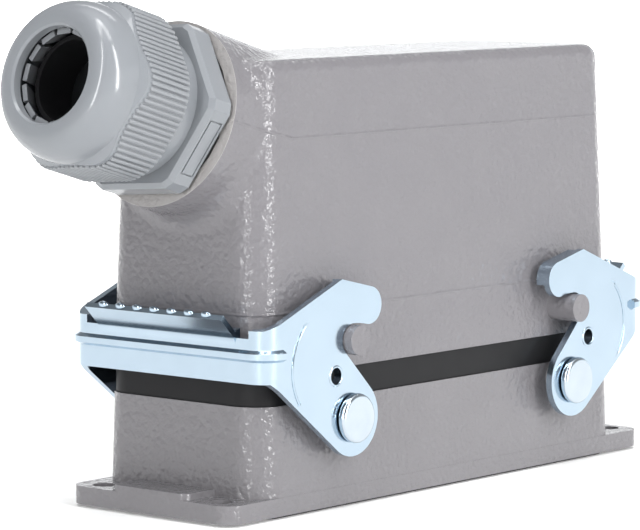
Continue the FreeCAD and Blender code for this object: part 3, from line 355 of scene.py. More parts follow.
def linear(code: str) -> tuple[float, float, float, float]:
    """Turn an sRGB colour to a linear one.

    Args:
        code: six hexadecimal digits, such as "8f8d8f".

    Returns:
        Red, green, blue and alpha.
    """
    shares = [int(code[at:at + 2], 16) / 255 for at in (0, 2, 4)]
    curve = [share / 12.92 if share <= 0.04045 else ((share + 0.055) / 1.055) ** 2.4 for share in shares]
    return (*curve, 1.0)


def add_node(tree: Tree, kind: str, settings: dict[str, object] | None = None,
             inputs: dict[str | int, object] | None = None) -> bpy.types.Node:
    """Add one shader node.

    Args:
        tree: the material's node tree.
        kind: type of the node without its prefix.
        settings: properties to set.
        inputs: values for its sockets, or output sockets to link to them.

    Returns:
        The new node.
    """
    node = tree.nodes.new("ShaderNode" + kind)
    for name, value in (settings or {}).items():
        setattr(node, name, value)
    for name, value in (inputs or {}).items():
        if isinstance(value, Socket):
            tree.links.new(value, node.inputs[name])
        else:
            node.inputs[name].default_value = value
    return node


def noise(tree: Tree, place: Socket, size_mm: float, detail: float) -> Socket:
    """Smooth noise from 0 to 1.

    Args:
        tree: the node tree.
        place: position on the surface.
        size_mm: size of its lumps in millimetres.
        detail: how many finer layers it has.

    Returns:
        The noise.
    """
    return add_node(tree, "TexNoise", inputs={
        "Vector": place, "Scale": 1 / (size_mm * MM), "Detail": detail}).outputs["Fac"]


def ramp(tree: Tree, value: Socket, span: Pair, levels: Pair = (0.0, 1.0), soft: bool = False) -> Socket:
    """Level that changes while a value runs over a span.

    Args:
        tree: the node tree.
        value: what is measured.
        span: where the change starts and ends.
        levels: the level at its start and at its end.
        soft: ease in and out instead of a straight change.

    Returns:
        The level.
    """
    return add_node(tree, "MapRange", {"interpolation_type": "SMOOTHSTEP" if soft else "LINEAR"}, {
        "Value": value, "From Min": span[0], "From Max": span[1],
        "To Min": levels[0], "To Max": levels[1]}).outputs["Result"]


def maths(tree: Tree, operation: str, *values: Socket | float) -> Socket:
    """Result of one calculation on outputs or numbers."""
    return add_node(tree, "Math", {"operation": operation}, dict(enumerate(values))).outputs[0]


def blend(tree: Tree, share: Socket, first: object, second: object) -> Socket:
    """Mix of two colours, each an output or four numbers."""
    inputs = {"Factor": share, MIX_FIRST: first, MIX_SECOND: second}
    return add_node(tree, "Mix", {"data_type": "RGBA"}, inputs).outputs[MIX_RESULT]


def bump(tree: Tree, height: Socket, depth_mm: float, strength: float = 1.0,
         normal: Socket | None = None, invert: bool = False) -> Socket:
    """Normal of a surface with bumps on it.

    Args:
        tree: the material's node tree.
        height: the bumps, from 0 to 1.
        depth_mm: how high 1 stands, in millimetres.
        strength: share of the bumps that shows.
        normal: normal of the surface below, if it has bumps of its own.
        invert: turn hills to hollows.

    Returns:
        The normal.
    """
    inputs = {"Strength": strength, "Distance": depth_mm * MM, "Height": height}
    if normal is not None:
        inputs["Normal"] = normal
    return add_node(tree, "Bump", {"invert": invert}, inputs).outputs["Normal"]


@dataclass(frozen=True)
class Finish:
    """A surface with two close colours, uneven gloss and a fine grain.

    Grain sizes are in millimetres and tell how large the bumps of the surface are.
    """

    name: str
    colour: str
    shade: str
    roughness: float
    roughness_spread: float = 0.08
    grain_mm: float = 0.5
    grain_height_mm: float = 0.01
    grain_detail: float = 2.0
    mottle_mm: float = 12.0
    mottle_detail: float = 3.0
    metallic: float = 0.0
    ior: float = 1.5

    def material(self) -> bpy.types.Material:
        """Build the material.

        Returns:
            The new material.
        """
        material = bpy.data.materials.new(self.name)
        material.use_nodes = True
        tree = material.node_tree
        tree.nodes.clear()
        place = add_node(tree, "TexCoord").outputs["Object"]
        surface = add_node(tree, "BsdfPrincipled", inputs={
            "Base Color": self.colour_socket(tree, place), "Roughness": self.gloss_socket(tree, place),
            "Normal": self.normal_socket(tree, place), "Metallic": self.metallic})
        if not self.metallic:
            surface.inputs["IOR"].default_value = self.ior
        self.dress(tree, surface, place)
        add_node(tree, "OutputMaterial", inputs={"Surface": surface.outputs["BSDF"]})
        return material

    def mottle(self, tree: Tree, place: Socket) -> Socket:
        """Broad, soft unevenness from 0 to 1."""
        return noise(tree, place, self.mottle_mm, self.mottle_detail)

    def colour_socket(self, tree: Tree, place: Socket) -> Socket:
        """Colour that drifts between the two tones."""
        return blend(tree, self.mottle(tree, place), linear(self.colour), linear(self.shade))

    def gloss_socket(self, tree: Tree, place: Socket) -> Socket:
        """Roughness that drifts about its middle value."""
        levels = (self.roughness - self.roughness_spread, self.roughness + self.roughness_spread)
        return ramp(tree, self.mottle(tree, place), (0.0, 1.0), levels)

    def normal_socket(self, tree: Tree, place: Socket) -> Socket:
        """Normal with the surface's grain."""
        return bump(tree, noise(tree, place, self.grain_mm, self.grain_detail), self.grain_height_mm)

    def dress(self, tree: Tree, surface: bpy.types.Node, place: Socket) -> None:
        """Add what only some finishes have."""


@dataclass(frozen=True)
class CoatedCasting(Finish):
    """Powder coat over a die casting: orange peel that breaks highlights into sparkles.

    The hood also has fine parting lines from its mould and a bare machined ring on its neck's face. Each line
    has a height and how far it climbs, in millimetres, between two places along X.
    """

    roughness_spread: float = 0.015
    grain_mm: float = 1.1
    grain_height_mm: float = 0.24
    mottle_mm: float = 9.0
    parting_lines: tuple[Pair, ...] = ()
    bare_neck: bool = False
    climb_start_mm: float = -48.5
    climb_end_mm: float = -66.5
    line_half_width_mm: float = 0.45
    line_height_mm: float = 0.13
    pimple_mm: float = 1.5
    pimple_height_mm: float = 0.16
    pimple_strength: float = 0.9
    bare_colour: str = "a4a1a0"
    bare_depth_mm: float = 0.12
    bare_fade_mm: float = 0.06

    def normal_socket(self, tree: Tree, place: Socket) -> Socket:
        """Orange peel with pimples on it, and the parting lines.

        Args:
            tree: the material's node tree.
            place: position on the casting.

        Returns:
            The normal.
        """
        peel = super().normal_socket(tree, place)
        pimples = add_node(tree, "TexVoronoi", inputs={
            "Vector": place, "Scale": 1 / (self.pimple_mm * MM)}).outputs["Distance"]
        normal = bump(tree, pimples, self.pimple_height_mm, self.pimple_strength, peel, invert=True)
        for height, climb in self.parting_lines:
            line = self.ridge(tree, place, height, climb)
            normal = bump(tree, line, self.line_height_mm, normal=normal)
        return normal

    def ridge(self, tree: Tree, place: Socket, height: float, climb: float) -> Socket:
        """Fine ridge where the halves of the mould met, 1 at its top.

        Args:
            tree: the material's node tree.
            place: position on the casting.
            height: height of the line in millimetres.
            climb: how far it has risen at the neck, in millimetres.

        Returns:
            Height of the surface, from 0 to 1.
        """
        axes = add_node(tree, "SeparateXYZ", inputs={0: place}).outputs
        climbing = (self.climb_start_mm * MM, self.climb_end_mm * MM)
        rise = ramp(tree, axes["X"], climbing, (0.0, climb * MM))
        above = maths(tree, "SUBTRACT", maths(tree, "SUBTRACT", axes["Z"], rise), height * MM)
        away = maths(tree, "ABSOLUTE", above)
        return ramp(tree, away, (0.0, self.line_half_width_mm * MM), (1.0, 0.0), soft=True)

    def dress(self, tree: Tree, surface: bpy.types.Node, place: Socket) -> None:
        """Leave the neck's machined face bare.

        Args:
            tree: the material's node tree.
            surface: its surface shader.
            place: position on the casting.
        """
        if not self.bare_neck:
            return
        outward = gland_frame().to_3x3() @ Vector((0, 0, 1))
        along = add_node(tree, "VectorMath", {"operation": "DOT_PRODUCT"}, {
            0: place, 1: outward}).outputs["Value"]
        face = outward.dot(gland_frame().translation)
        bare = ramp(tree, along, (face - self.bare_depth_mm * MM, face - self.bare_fade_mm * MM))
        colour = surface.inputs["Base Color"]
        mixed = blend(tree, bare, colour.links[0].from_socket, linear(self.bare_colour))
        tree.links.new(mixed, colour)


@dataclass(frozen=True)
class ZincPlate(Finish):
    """Bright blue-white zinc on pressed sheet: mirror-like with faint rolling streaks."""

    streak_mm: float = 0.6
    stretch: float = 6.0
    streak_detail: float = 4.0
    streak_strength: float = 0.5

    def normal_socket(self, tree: Tree, place: Socket) -> Socket:
        """Grain drawn out along the sheet.

        Args:
            tree: the material's node tree.
            place: position on the sheet.

        Returns:
            The normal.
        """
        stretched = add_node(tree, "Mapping", inputs={
            "Vector": place, "Scale": (1.0, 1.0, self.stretch)}).outputs["Vector"]
        streaks = noise(tree, stretched, self.stretch * self.streak_mm, self.streak_detail)
        return bump(tree, streaks, self.grain_height_mm, self.streak_strength)


class Look(Enum):
    """Every finish on the connector."""

    # Grey-brown powder coat on the aluminium hood: glossy, pebbled, sparkling where it curves
    HOOD = CoatedCasting(
        "powder_coated_hood", "7d7b7e", "78767a", roughness=0.1, parting_lines=((40.1, 0.0), (74.5, 4.7)),
        bare_neck=True)
    # The same coat on the base, a touch duller
    BASE = CoatedCasting("powder_coated_base", "7d7b7e", "777578", roughness=0.105)
    # Nitrile rubber: near black, soft sheen
    RUBBER = Finish(
        "nitrile_rubber", "1b1b1d", "171719", roughness=0.5, roughness_spread=0.05, grain_mm=0.4,
        grain_height_mm=0.004, mottle_mm=6.0, ior=1.33)
    # Zinc plated steel sheet: cool, bright, streaked
    ZINC = ZincPlate(
        "zinc_plated_sheet", "bccddb", "b2c3d1", roughness=0.17, roughness_spread=0.04,
        grain_height_mm=0.004, mottle_mm=8.0, metallic=1.0)
    # Turned and plated rivets: brighter and smoother than the sheet
    RIVET = Finish(
        "plated_rivet", "cbd5de", "bfcad3", roughness=0.2, roughness_spread=0.05, grain_mm=0.3,
        grain_height_mm=0.002, mottle_mm=3.0, metallic=1.0)
    # Moulded polyamide gland: cool light grey, waxy gloss
    NYLON = Finish(
        "moulded_polyamide", "878b8f", "85888d", roughness=0.16, roughness_spread=0.02, grain_mm=2.5,
        grain_height_mm=0.012, mottle_mm=14.0, ior=1.53)
    # The same polyamide on the ribs, where the mould is matt
    NYLON_MATT = Finish(
        "matt_polyamide", "8d9094", "898c90", roughness=0.4, roughness_spread=0.03, grain_mm=0.25,
        grain_height_mm=0.006, mottle_mm=9.0, ior=1.53)
    # Glass-filled polycarbonate of the contact inserts: matt, off-white
    INSERT = Finish(
        "glass_filled_insert", "b9b8b2", "b0afa8", roughness=0.48, roughness_spread=0.06, grain_mm=0.3,
        grain_height_mm=0.006, mottle_mm=6.0, ior=1.58)
    # Silver-plated brass contacts: warm and bright
    SILVER = Finish(
        "silver_plated_brass", "e3e1da", "d2cfc6", roughness=0.28, grain_mm=0.4,
        grain_height_mm=0.003, mottle_mm=2.0, metallic=1.0)

    def material(self) -> bpy.types.Material:
        """The finish's material, made once."""
        return bpy.data.materials.get(self.value.name) or self.value.material()


def finish_piece(piece: Piece, look: Look, body: str, slot: str, *nodes: str) -> Piece:
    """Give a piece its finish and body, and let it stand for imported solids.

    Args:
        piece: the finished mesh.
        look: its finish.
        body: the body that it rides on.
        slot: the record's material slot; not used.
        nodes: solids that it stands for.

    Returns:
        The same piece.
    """
    piece.data.materials.clear()
    piece.data.materials.append(look.material())
    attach(piece, body)
    if nodes:
        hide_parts(*nodes)
    LOG.info("%s: %d faces on %s", piece.name, len(piece.data.polygons), body)
    return piece


def show_solid(node: str, name: str, edge: float, look: Look, slot: str, segments: int = 2) -> Piece:
    """Show a solid of the housing with its edges rounded.

    Args:
        node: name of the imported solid.
        name: name of the piece.
        edge: width of the rounding in millimetres.
        look: its finish.
        slot: the record's material slot.
        segments: faces across the rounding.

    Returns:
        The finished piece.
    """
    piece = round_edges(merged_copy(node, name), edge, segments)
    return finish_piece(piece, look, "housing", slot, node)


# Sub-assemblies


@dataclass
class Castings:
    """Hood, base and the rubber between and under them; roundings in millimetres."""

    hood_edge: float = 0.45
    base_edge: float = 0.4
    seal_edge: float = 0.25

    def build(self) -> None:
        """Round every cast and moulded edge and coat the pieces."""
        show_solid("hood", "coated_hood", self.hood_edge, Look.HOOD, "cast_grey")
        show_solid("base_housing", "coated_base", self.base_edge, Look.BASE, "cast_grey")
        show_solid("rim_seal", "rubber_frame", self.seal_edge, Look.RUBBER, "seal_black")
        show_solid("flange_gasket", "panel_gasket", self.seal_edge, Look.RUBBER, "seal_black")


@dataclass
class Gland:
    """What the cable gland's pieces share: its place on the hood's slanted neck, and its hexagon.

    Sizes are in millimetres. Heights run along the gland from the neck's face.
    """

    tilt_deg: float = 15.9
    neck_x: float = -64.2
    neck_z: float = 79.4
    phase_deg: float = 34.0
    flats: float = 33.0
    spigot_high: float = 20.4

    def hexagon(self, name: str, flats: float, low: float, high: float, corner: float,
                segments: int) -> Piece:
        """Hexagonal prism with rounded or cut long edges.

        Args:
            name: name of the piece.
            flats: width across flats.
            low: foot along the gland.
            high: top along the gland.
            corner: how much of each flat the long edges take.
            segments: faces across a long edge; one cuts it flat.

        Returns:
            The new piece.
        """
        piece = add_mesh(bpy.ops.mesh.primitive_cylinder_add, (high + low) / 2 * MM, vertices=6,
                         radius=flats / math.sqrt(3) * MM, depth=(high - low) * MM)
        piece.name = piece.data.name = name
        bpy.ops.object.transform_apply(location=True, rotation=True, scale=True)
        corners = (vertex.co for vertex in piece.data.vertices)
        first = min(corners, key=lambda co: abs(math.atan2(co.y, co.x)))
        turn = math.radians(self.phase_deg) - math.atan2(first.y, first.x)
        put(piece, Matrix.Rotation(turn, 4, "Z"))

        def upright(ends: list[Vector]) -> bool:
            """Whether an edge runs along the prism."""
            return abs(ends[0].z - ends[1].z) > 0.5 * (high - low) * MM
        edit_edges(piece, upright, lambda: bpy.ops.mesh.bevel(
            offset=corner * MM, segments=segments, affect="EDGES"))
        return piece


@dataclass
class DomeNut(Gland):
    """Dome nut: a ribbed sleeve with a rounded hexagon's outline under a smooth dome with a chamfered mouth.

    corner is the radius to which the sleeve's corners are turned, and its blank reaches up to blank_high.
    """

    corner: float = 17.9
    corner_round: float = 7.38
    corner_segments: int = 6
    nut_low: float = 11.7
    nut_high: float = 33.0
    blank_high: float = 32.0
    foot_proud: float = 0.6
    foot_high: float = 1.0
    shoulder_low: float = 23.5
    shoulder_high: float = 25.3
    shoulder_tuck: float = 0.1
    sleeve_bore: float = 15.2
    sleeve_edge: float = 0.2
    shell_inner: float = 14.3
    shell_outer: float = 15.4
    lip_low: float = 0.5
    lip_high: float = 0.35
    dome_radius: float = 16.0
    dome_steps: int = 14
    dome_power: float = 0.85
    dome_segments: int = 128
    front_flat: float = 0.9
    front_dish: float = 0.04
    mouth: float = 9.6
    mouth_chamfer: float = 0.45
    mouth_land: float = 2.2
    inner_mouth: float = 9.9
    inner_step: float = 0.2
    spigot_gap: float = 0.3
    rib_count: int = 90
    rib_depth: float = 0.45
    rib_width: float = 0.78
    rib_thick: float = 1.1
    rib_edge: float = 0.24
    rib_top_gap: float = 0.35
    rib_foot_gap: float = 0.12
    rib_foot_radius: float = 17.0
    rib_foot_slope: float = 0.8
    rib_smooth_deg: float = 50.0

    def build(self) -> None:
        """Make the nut and its ribs."""
        place = gland_frame()
        finish_piece(put(self.nut(), place), Look.NYLON, "gland_nut", "gland_grey", "dome_nut")
        finish_piece(put(self.ribs(), place), Look.NYLON_MATT, "gland_nut", "gland_grey")

    def nut(self) -> Piece:
        """Sleeve and dome, without the ribs."""
        return smooth(join("dome_nut_body", [self.sleeve(), self.shell()]))

    def sleeve(self) -> Piece:
        """Floor of the grooves between the ribs, turned to a foot and a shoulder.

        Returns:
            The sleeve about the gland's axis.
        """
        flats = self.flats - 2 * self.rib_depth
        corner = (self.corner_round - self.rib_depth) * math.tan(TWELFTH)
        sleeve = self.hexagon("dome_nut_sleeve", flats, self.nut_low, self.blank_high, corner,
                              self.corner_segments)
        turning = [
            (self.dome_radius + self.foot_proud, self.nut_low),
            (self.corner, self.nut_low + self.foot_high), (self.corner, self.shoulder_low),
            (self.dome_radius - self.shoulder_tuck, self.shoulder_high)]
        boolean(sleeve, turned("sleeve_turning", turning, closed=False), "INTERSECT")
        bore = [(self.sleeve_bore, self.nut_low - CUT_PAST), (self.sleeve_bore, self.blank_high + CUT_PAST)]
        boolean(sleeve, turned("sleeve_bore", bore, closed=False), "DIFFERENCE")
        return round_edges(sleeve, self.sleeve_edge)

    def shell(self) -> Piece:
        """Dome, mouth and bore in one turned profile.

        Returns:
            The shell about the gland's axis.
        """
        front = self.mouth + self.mouth_chamfer + self.front_flat
        curve = [step / self.dome_steps * math.pi / 2 for step in range(self.dome_steps)]
        reach, rise = self.dome_radius - front, self.nut_high - self.shoulder_high
        dome = [(front + reach * math.cos(turn) ** self.dome_power,
                 self.shoulder_high + rise * math.sin(turn)) for turn in curve]
        land = self.nut_high - self.mouth_land
        profile = [
            (self.shell_inner, self.nut_low), (self.shell_outer, self.nut_low),
            (self.shell_outer, self.shoulder_high - self.lip_low),
            (self.dome_radius, self.shoulder_high - self.lip_high), *dome, (front, self.nut_high),
            (self.mouth + self.mouth_chamfer, self.nut_high - self.front_dish),
            (self.mouth, self.nut_high - self.mouth_chamfer), (self.mouth, land),
            (self.inner_mouth, land - self.inner_step),
            (self.shell_inner, self.spigot_high + self.spigot_gap)]
        return smooth(turned("dome_nut_shell", profile, segments=self.dome_segments))

    def reach(self, angle: float) -> Pair:
        """Outline of the ribbed hexagon at an angle about the axis.

        Args:
            angle: counted from a corner, in radians.

        Returns:
            Distance from the axis, and the direction that the outline faces there.
        """
        apothem, rounding = self.flats / 2, self.corner_round
        centre = (apothem - rounding) / math.cos(TWELFTH)
        past = (angle + TWELFTH) % SIXTH - TWELFTH
        touch = math.atan2(centre / 2, apothem)
        if abs(past) < TWELFTH - touch:
            reach = centre * math.cos(past) + math.sqrt(rounding ** 2 - (centre * math.sin(past)) ** 2)
            turn = math.atan2(reach * math.sin(past), reach * math.cos(past) - centre)
            return reach, angle - past + turn
        side = math.copysign(TWELFTH, past)
        return apothem / math.cos(past - side), angle - past + side

    def ribs(self) -> Piece:
        """Grip ribs round the nut, each ending at the turned shoulder.

        Returns:
            All ribs as one piece about the gland's axis.
        """
        slope = (self.shoulder_high - self.shoulder_low) / (self.corner - self.dome_radius)
        phase = math.radians(self.phase_deg)
        inward = Matrix.Translation(Vector((-self.rib_thick / 2 * MM, 0, 0)))
        made = []
        for index in range(self.rib_count):
            angle = 2 * math.pi * index / self.rib_count
            reach, facing = self.reach(angle)
            top = self.shoulder_high - (reach - self.dome_radius) * slope - self.rib_top_gap
            past = max(0.0, reach - self.rib_foot_radius)
            low = self.nut_low + self.rib_foot_gap + past * self.rib_foot_slope
            rib = rounded_box("rib", (self.rib_thick, self.rib_width, top - low), self.rib_edge)
            x, y = reach * math.cos(angle + phase), reach * math.sin(angle + phase)
            spot = Matrix.Translation(Vector((x, y, (top + low) / 2)) * MM)
            made.append(put(rib, spot @ Matrix.Rotation(facing + phase, 4, "Z") @ inward))
        return smooth(join("dome_nut_ribs", made), self.rib_smooth_deg)


@dataclass
class GlandBody(Gland):
    """Gland body with its hexagon, thread, collar and spigot, and what shows inside the nut's mouth."""

    small_edge: float = 0.12
    hex_low: float = 0.9
    hex_high: float = 6.4
    hex_edge: float = 0.14
    hex_limit_deg: float = 18.0
    corner_cut: float = 1.3
    rim_cut: float = 0.95
    bore: float = 11.2
    bore_span: Pair = (0.0, 10.0)
    thread_radius: float = 14.1
    thread_low: float = -11.0
    collar_radius: float = 14.4
    collar_low: float = 3.0
    collar_high: float = 11.4
    collar_chamfer: float = 0.2
    spigot_radius: float = 14.0
    frame_length: float = 11.8
    frame_height: float = 3.2
    frame_bar: float = 0.32
    frame_deep: float = 0.35
    frame_edge: float = 0.05
    frame_drop: float = 0.45
    frame_turn_deg: float = 210.0

    def build(self) -> None:
        """Make the body, and show the ring, the bush and the fingers."""
        finish_piece(put(self.casing(), gland_frame()), Look.NYLON, "housing", "gland_grey", "gland_body")
        show_solid("gland_o_ring", "gland_ring", self.small_edge, Look.RUBBER, "seal_black")
        show_solid("gland_seal", "cable_bush", self.small_edge, Look.RUBBER, "seal_black")
        show_solid("clamp_cage", "clamp_fingers", self.small_edge, Look.NYLON_MATT, "gland_grey")

    def casing(self) -> Piece:
        """Spanner hexagon on a turned tube.

        Returns:
            The body about the gland's axis.
        """
        tube = turned("gland_tube", [
            (self.bore, self.thread_low), (self.thread_radius, self.thread_low),
            (self.thread_radius, self.collar_low), (self.collar_radius, self.collar_low),
            (self.collar_radius, self.collar_high - self.collar_chamfer),
            (self.collar_radius - self.collar_chamfer, self.collar_high),
            (self.spigot_radius, self.collar_high), (self.spigot_radius, self.spigot_high),
            (self.bore, self.spigot_high)])
        return join("gland_casing", [self.spanner(), smooth(tube)])

    def spanner(self) -> Piece:
        """Hexagon with bevelled front edges and the sunken frame.

        Returns:
            The hexagon about the gland's axis.
        """
        head = self.hexagon("gland_spanner", self.flats, self.hex_low, self.hex_high, self.corner_cut, 1)
        bore = [(self.bore, height) for height in self.bore_span]
        boolean(head, turned("spanner_bore", bore, closed=False), "DIFFERENCE")

        def front_rim(ends: list[Vector]) -> bool:
            """Whether an edge is on the outline of the front face."""
            return all(abs(end.z - self.hex_high * MM) < SAME_PLACE
                       and end.xy.length > self.spigot_radius * MM for end in ends)
        edit_edges(head, front_rim, lambda: bpy.ops.mesh.bevel(
            offset=self.rim_cut * MM, segments=1, affect="EDGES"))
        self.frame_in_flat(head)
        return round_edges(head, self.hex_edge, limit_deg=self.hex_limit_deg)

    def frame_in_flat(self, head: Piece) -> None:
        """Cut a plain sunken frame into the flat that faces down and to the front.

        Args:
            head: the hexagon.
        """
        length, height, bar = self.frame_length, self.frame_height, self.frame_bar
        middle = (self.hex_low + self.hex_high) / 2 - self.frame_drop
        facing = Matrix.Rotation(math.radians(self.phase_deg + self.frame_turn_deg), 4, "Z")
        level, upright = (length + bar, bar), (bar, height + bar)
        for size, across, along in ((level, 0, height / 2), (level, 0, -height / 2),
                                    (upright, length / 2, 0), (upright, -length / 2, 0)):
            groove = rounded_box("frame_groove", (2 * self.frame_deep, *size), self.frame_edge, 1)
            spot = Vector((self.flats / 2, across, middle + along)) * MM
            boolean(head, put(groove, facing @ Matrix.Translation(spot)), "DIFFERENCE")


@dataclass
class Lever:
    """One locking lever; sizes in millimetres.

    side is 1 for the right lever, whose places are given, and -1 for the left one, which mirrors it. arm_y is
    where an arm's outer face stands. The stud_radii run across the lip, along it and out of it. In a method,
    face is -1 for the front arm and 1 for the back one.
    """

    node: str
    body: str
    side: int
    edge: float = 0.28
    edge_segments: int = 3
    edge_limit_deg: float = 25.0
    arm_y: float = 26.45
    lip_x: float = 66.75
    lip_z: float = 40.45
    lip_lean_deg: float = 45.0
    stud_count: int = 7
    stud_pitch: float = 4.6
    stud_radii: Triple = (1.2, 1.35, 0.75)
    stud_rings: int = 10
    eye_x: float = 42.5
    eye_z: float = 27.2
    eye_radius: float = 1.6
    collar_radius: float = 0.3
    collar_sunk: float = 0.08
    collar_round: int = 40
    collar_across: int = 10
    arc_x: float = 44.2
    arc_z: float = 29.3
    arc_radius: float = 11.6
    arc_ends_deg: Pair = (-36.0, 48.0)
    arc_steps: int = 24
    arc_line: float = 0.26
    head_radius: float = 0.75
    head_length: float = 1.9
    head_thick: float = 0.22
    head_ahead_deg: float = 3.0

    def build(self) -> None:
        """Make the lever with its studs, collars and marks."""
        sheet = merged_copy(self.node, self.node + "_sheet")
        round_edges(sheet, self.edge, self.edge_segments, self.edge_limit_deg)
        whole = join(self.node + "_pressed", [sheet, self.studs(), *self.collars(), *self.marks()])
        finish_piece(whole, Look.ZINC, self.body, "zinc_steel", self.node)

    def studs(self) -> Piece:
        """Row of pressed grip studs along the top of the lip.

        Returns:
            The row as one piece.
        """
        lean = Matrix.Rotation(math.radians(-self.side * self.lip_lean_deg), 4, "Y")
        shape = Matrix.Diagonal((*self.stud_radii, 1))
        made = []
        for index in range(self.stud_count):
            y = (index - (self.stud_count - 1) / 2) * self.stud_pitch
            spot = Vector((self.side * self.lip_x, y, self.lip_z)) * MM
            stud = add_mesh(bpy.ops.mesh.primitive_uv_sphere_add, radius=MM,
                            segments=2 * self.stud_rings, ring_count=self.stud_rings)
            put(stud, Matrix.Translation(spot) @ lean @ shape)
            made.append(smooth(stud, SMALL_SMOOTH_DEG))
        return join("grip_studs", made)

    def collars(self) -> list[Piece]:
        """Rolled rim round the hole in each arm.

        Returns:
            One rim for each arm.
        """
        made = []
        for face in (-1, 1):
            rim = add_mesh(bpy.ops.mesh.primitive_torus_add, minor_radius=self.collar_radius * MM,
                           major_radius=(self.eye_radius + self.collar_radius) * MM,
                           major_segments=self.collar_round, minor_segments=self.collar_across)
            spot = Vector((self.side * self.eye_x, face * (self.arm_y - self.collar_sunk), self.eye_z)) * MM
            put(rim, Matrix.Translation(spot) @ Matrix.Rotation(math.pi / 2, 4, "X"))
            made.append(smooth(rim, SMALL_SMOOTH_DEG))
        return made

    def marks(self) -> list[Piece]:
        """Raised arc with an arrowhead at each end on both arms.

        Returns:
            The arcs and the arrowheads.
        """
        made = []
        for face in (-1, 1):
            made.append(self.arc(face))
            for angle, way in zip(self.arc_ends_deg, (-1, 1)):
                made.append(self.arrowhead(face, angle, way))
        return made

    def on_arm(self, face: int, angle_deg: float) -> Vector:
        """Point of the raised arc on an arm's outer face.

        Args:
            face: which arm.
            angle_deg: counted up from the web's side.

        Returns:
            The point in metres.
        """
        angle = math.radians(angle_deg)
        return Vector((self.side * (self.arc_x + self.arc_radius * math.cos(angle)), face * self.arm_y,
                       self.arc_z + self.arc_radius * math.sin(angle))) * MM

    def arc(self, face: int) -> Piece:
        """Thin raised line along the arc, drawn point by point and given a round section.

        Args:
            face: which arm.

        Returns:
            The line.
        """
        first, last = self.arc_ends_deg
        piece = add_mesh(bpy.ops.mesh.primitive_plane_add, size=MM)
        bpy.ops.object.mode_set(mode="EDIT")
        bpy.ops.mesh.select_mode(type="VERT")
        bpy.ops.mesh.select_all(action="SELECT")
        bpy.ops.mesh.merge(type="CENTER")
        spot = self.on_arm(face, first)
        bpy.ops.transform.translate(value=spot)
        for step in range(1, self.arc_steps + 1):
            after = self.on_arm(face, first + (last - first) * step / self.arc_steps)
            bpy.ops.mesh.extrude_vertices_move(TRANSFORM_OT_translate={"value": after - spot})
            spot = after
        bpy.ops.object.mode_set(mode="OBJECT")
        select_only(piece)
        bpy.ops.object.convert(target="CURVE")
        line = bpy.context.object.data
        line.bevel_depth = self.arc_line * MM
        line.bevel_resolution = 1
        bpy.ops.object.convert(target="MESH")
        return smooth(bpy.context.object, SMALL_SMOOTH_DEG)

    def arrowhead(self, face: int, angle: float, way: int) -> Piece:
        """Small raised wedge at an end of the arc.

        Args:
            face: which arm.
            angle: where the arc ends, in degrees.
            way: 1 if it points up the arc, -1 if down.

        Returns:
            The wedge.
        """
        wedge = add_mesh(bpy.ops.mesh.primitive_cone_add, vertices=4, radius1=self.head_radius * MM,
                         radius2=0.0, depth=self.head_length * MM)
        ahead = self.on_arm(face, angle + way * self.head_ahead_deg)
        towards = ahead - self.on_arm(face, angle)
        turn = towards.to_track_quat("Z", "Y").to_matrix().to_4x4()
        flat = Matrix.Diagonal((1, self.head_thick, 1, 1))
        return put(wedge, Matrix.Translation(ahead) @ flat @ turn)


@dataclass
class Levers:
    """Both locking levers and the rivets that carry them; rounding in millimetres."""

    rivet_edge: float = 0.3
    rivet_segments: int = 3

    def build(self) -> None:
        """Make both levers and show the rivets."""
        Lever("lever_left", "left_lever", -1).build()
        Lever("lever_right", "right_lever", 1).build()
        show_solid("pivot_rivets", "rivet_heads", self.rivet_edge, Look.RIVET, "bright_steel",
                   self.rivet_segments)


@dataclass
class Insides:
    """Contact inserts with their contacts, screws and earth parts; rounding in millimetres."""

    edge: float = 0.15
    kinds: tuple[tuple[str, Look, str], ...] = (
        ("insert", Look.INSERT, "insert_grey"), ("contacts", Look.SILVER, "contact_silver"),
        ("earth_plates", Look.ZINC, "zinc_steel"), ("earth_screws", Look.RIVET, "bright_steel"),
        ("insert_screws", Look.RIVET, "bright_steel"))

    def build(self) -> None:
        """Give each solid of both inserts rounded edges and its finish."""
        for kind, look, slot in self.kinds:
            for node in ("female_" + kind, "male_" + kind):
                show_solid(node, node + "_made", self.edge, look, slot)


# Studio


def stand(name: str, data: bpy.types.ID, place: Triple,
          target: Triple) -> Piece:
    """Set up a camera or a light.

    Args:
        name: name of the object.
        data: the camera or the light.
        place: where it stands, in metres.
        target: what it faces, in metres.

    Returns:
        The new object.
    """
    thing = bpy.data.objects.new(name, data)
    bpy.context.scene.collection.objects.link(thing)
    thing.location = place
    towards = Vector(target) - thing.location
    thing.rotation_euler = towards.to_track_quat("-Z", "Y").to_euler()
    return thing


@dataclass(frozen=True)
class SoftLight:
    """Rectangular soft light; lengths in metres."""

    name: str
    place: Triple
    size: Pair
    watts: float
    target: Triple
    spread_deg: float = 180.0

    def build(self) -> None:
        """Add the light to the scene."""
        data = bpy.data.lights.new(self.name, "AREA")
        data.shape = "RECTANGLE"
        data.size, data.size_y = self.size
        data.energy = self.watts
        data.spread = math.radians(self.spread_deg)
        stand(self.name, data, self.place, self.target)


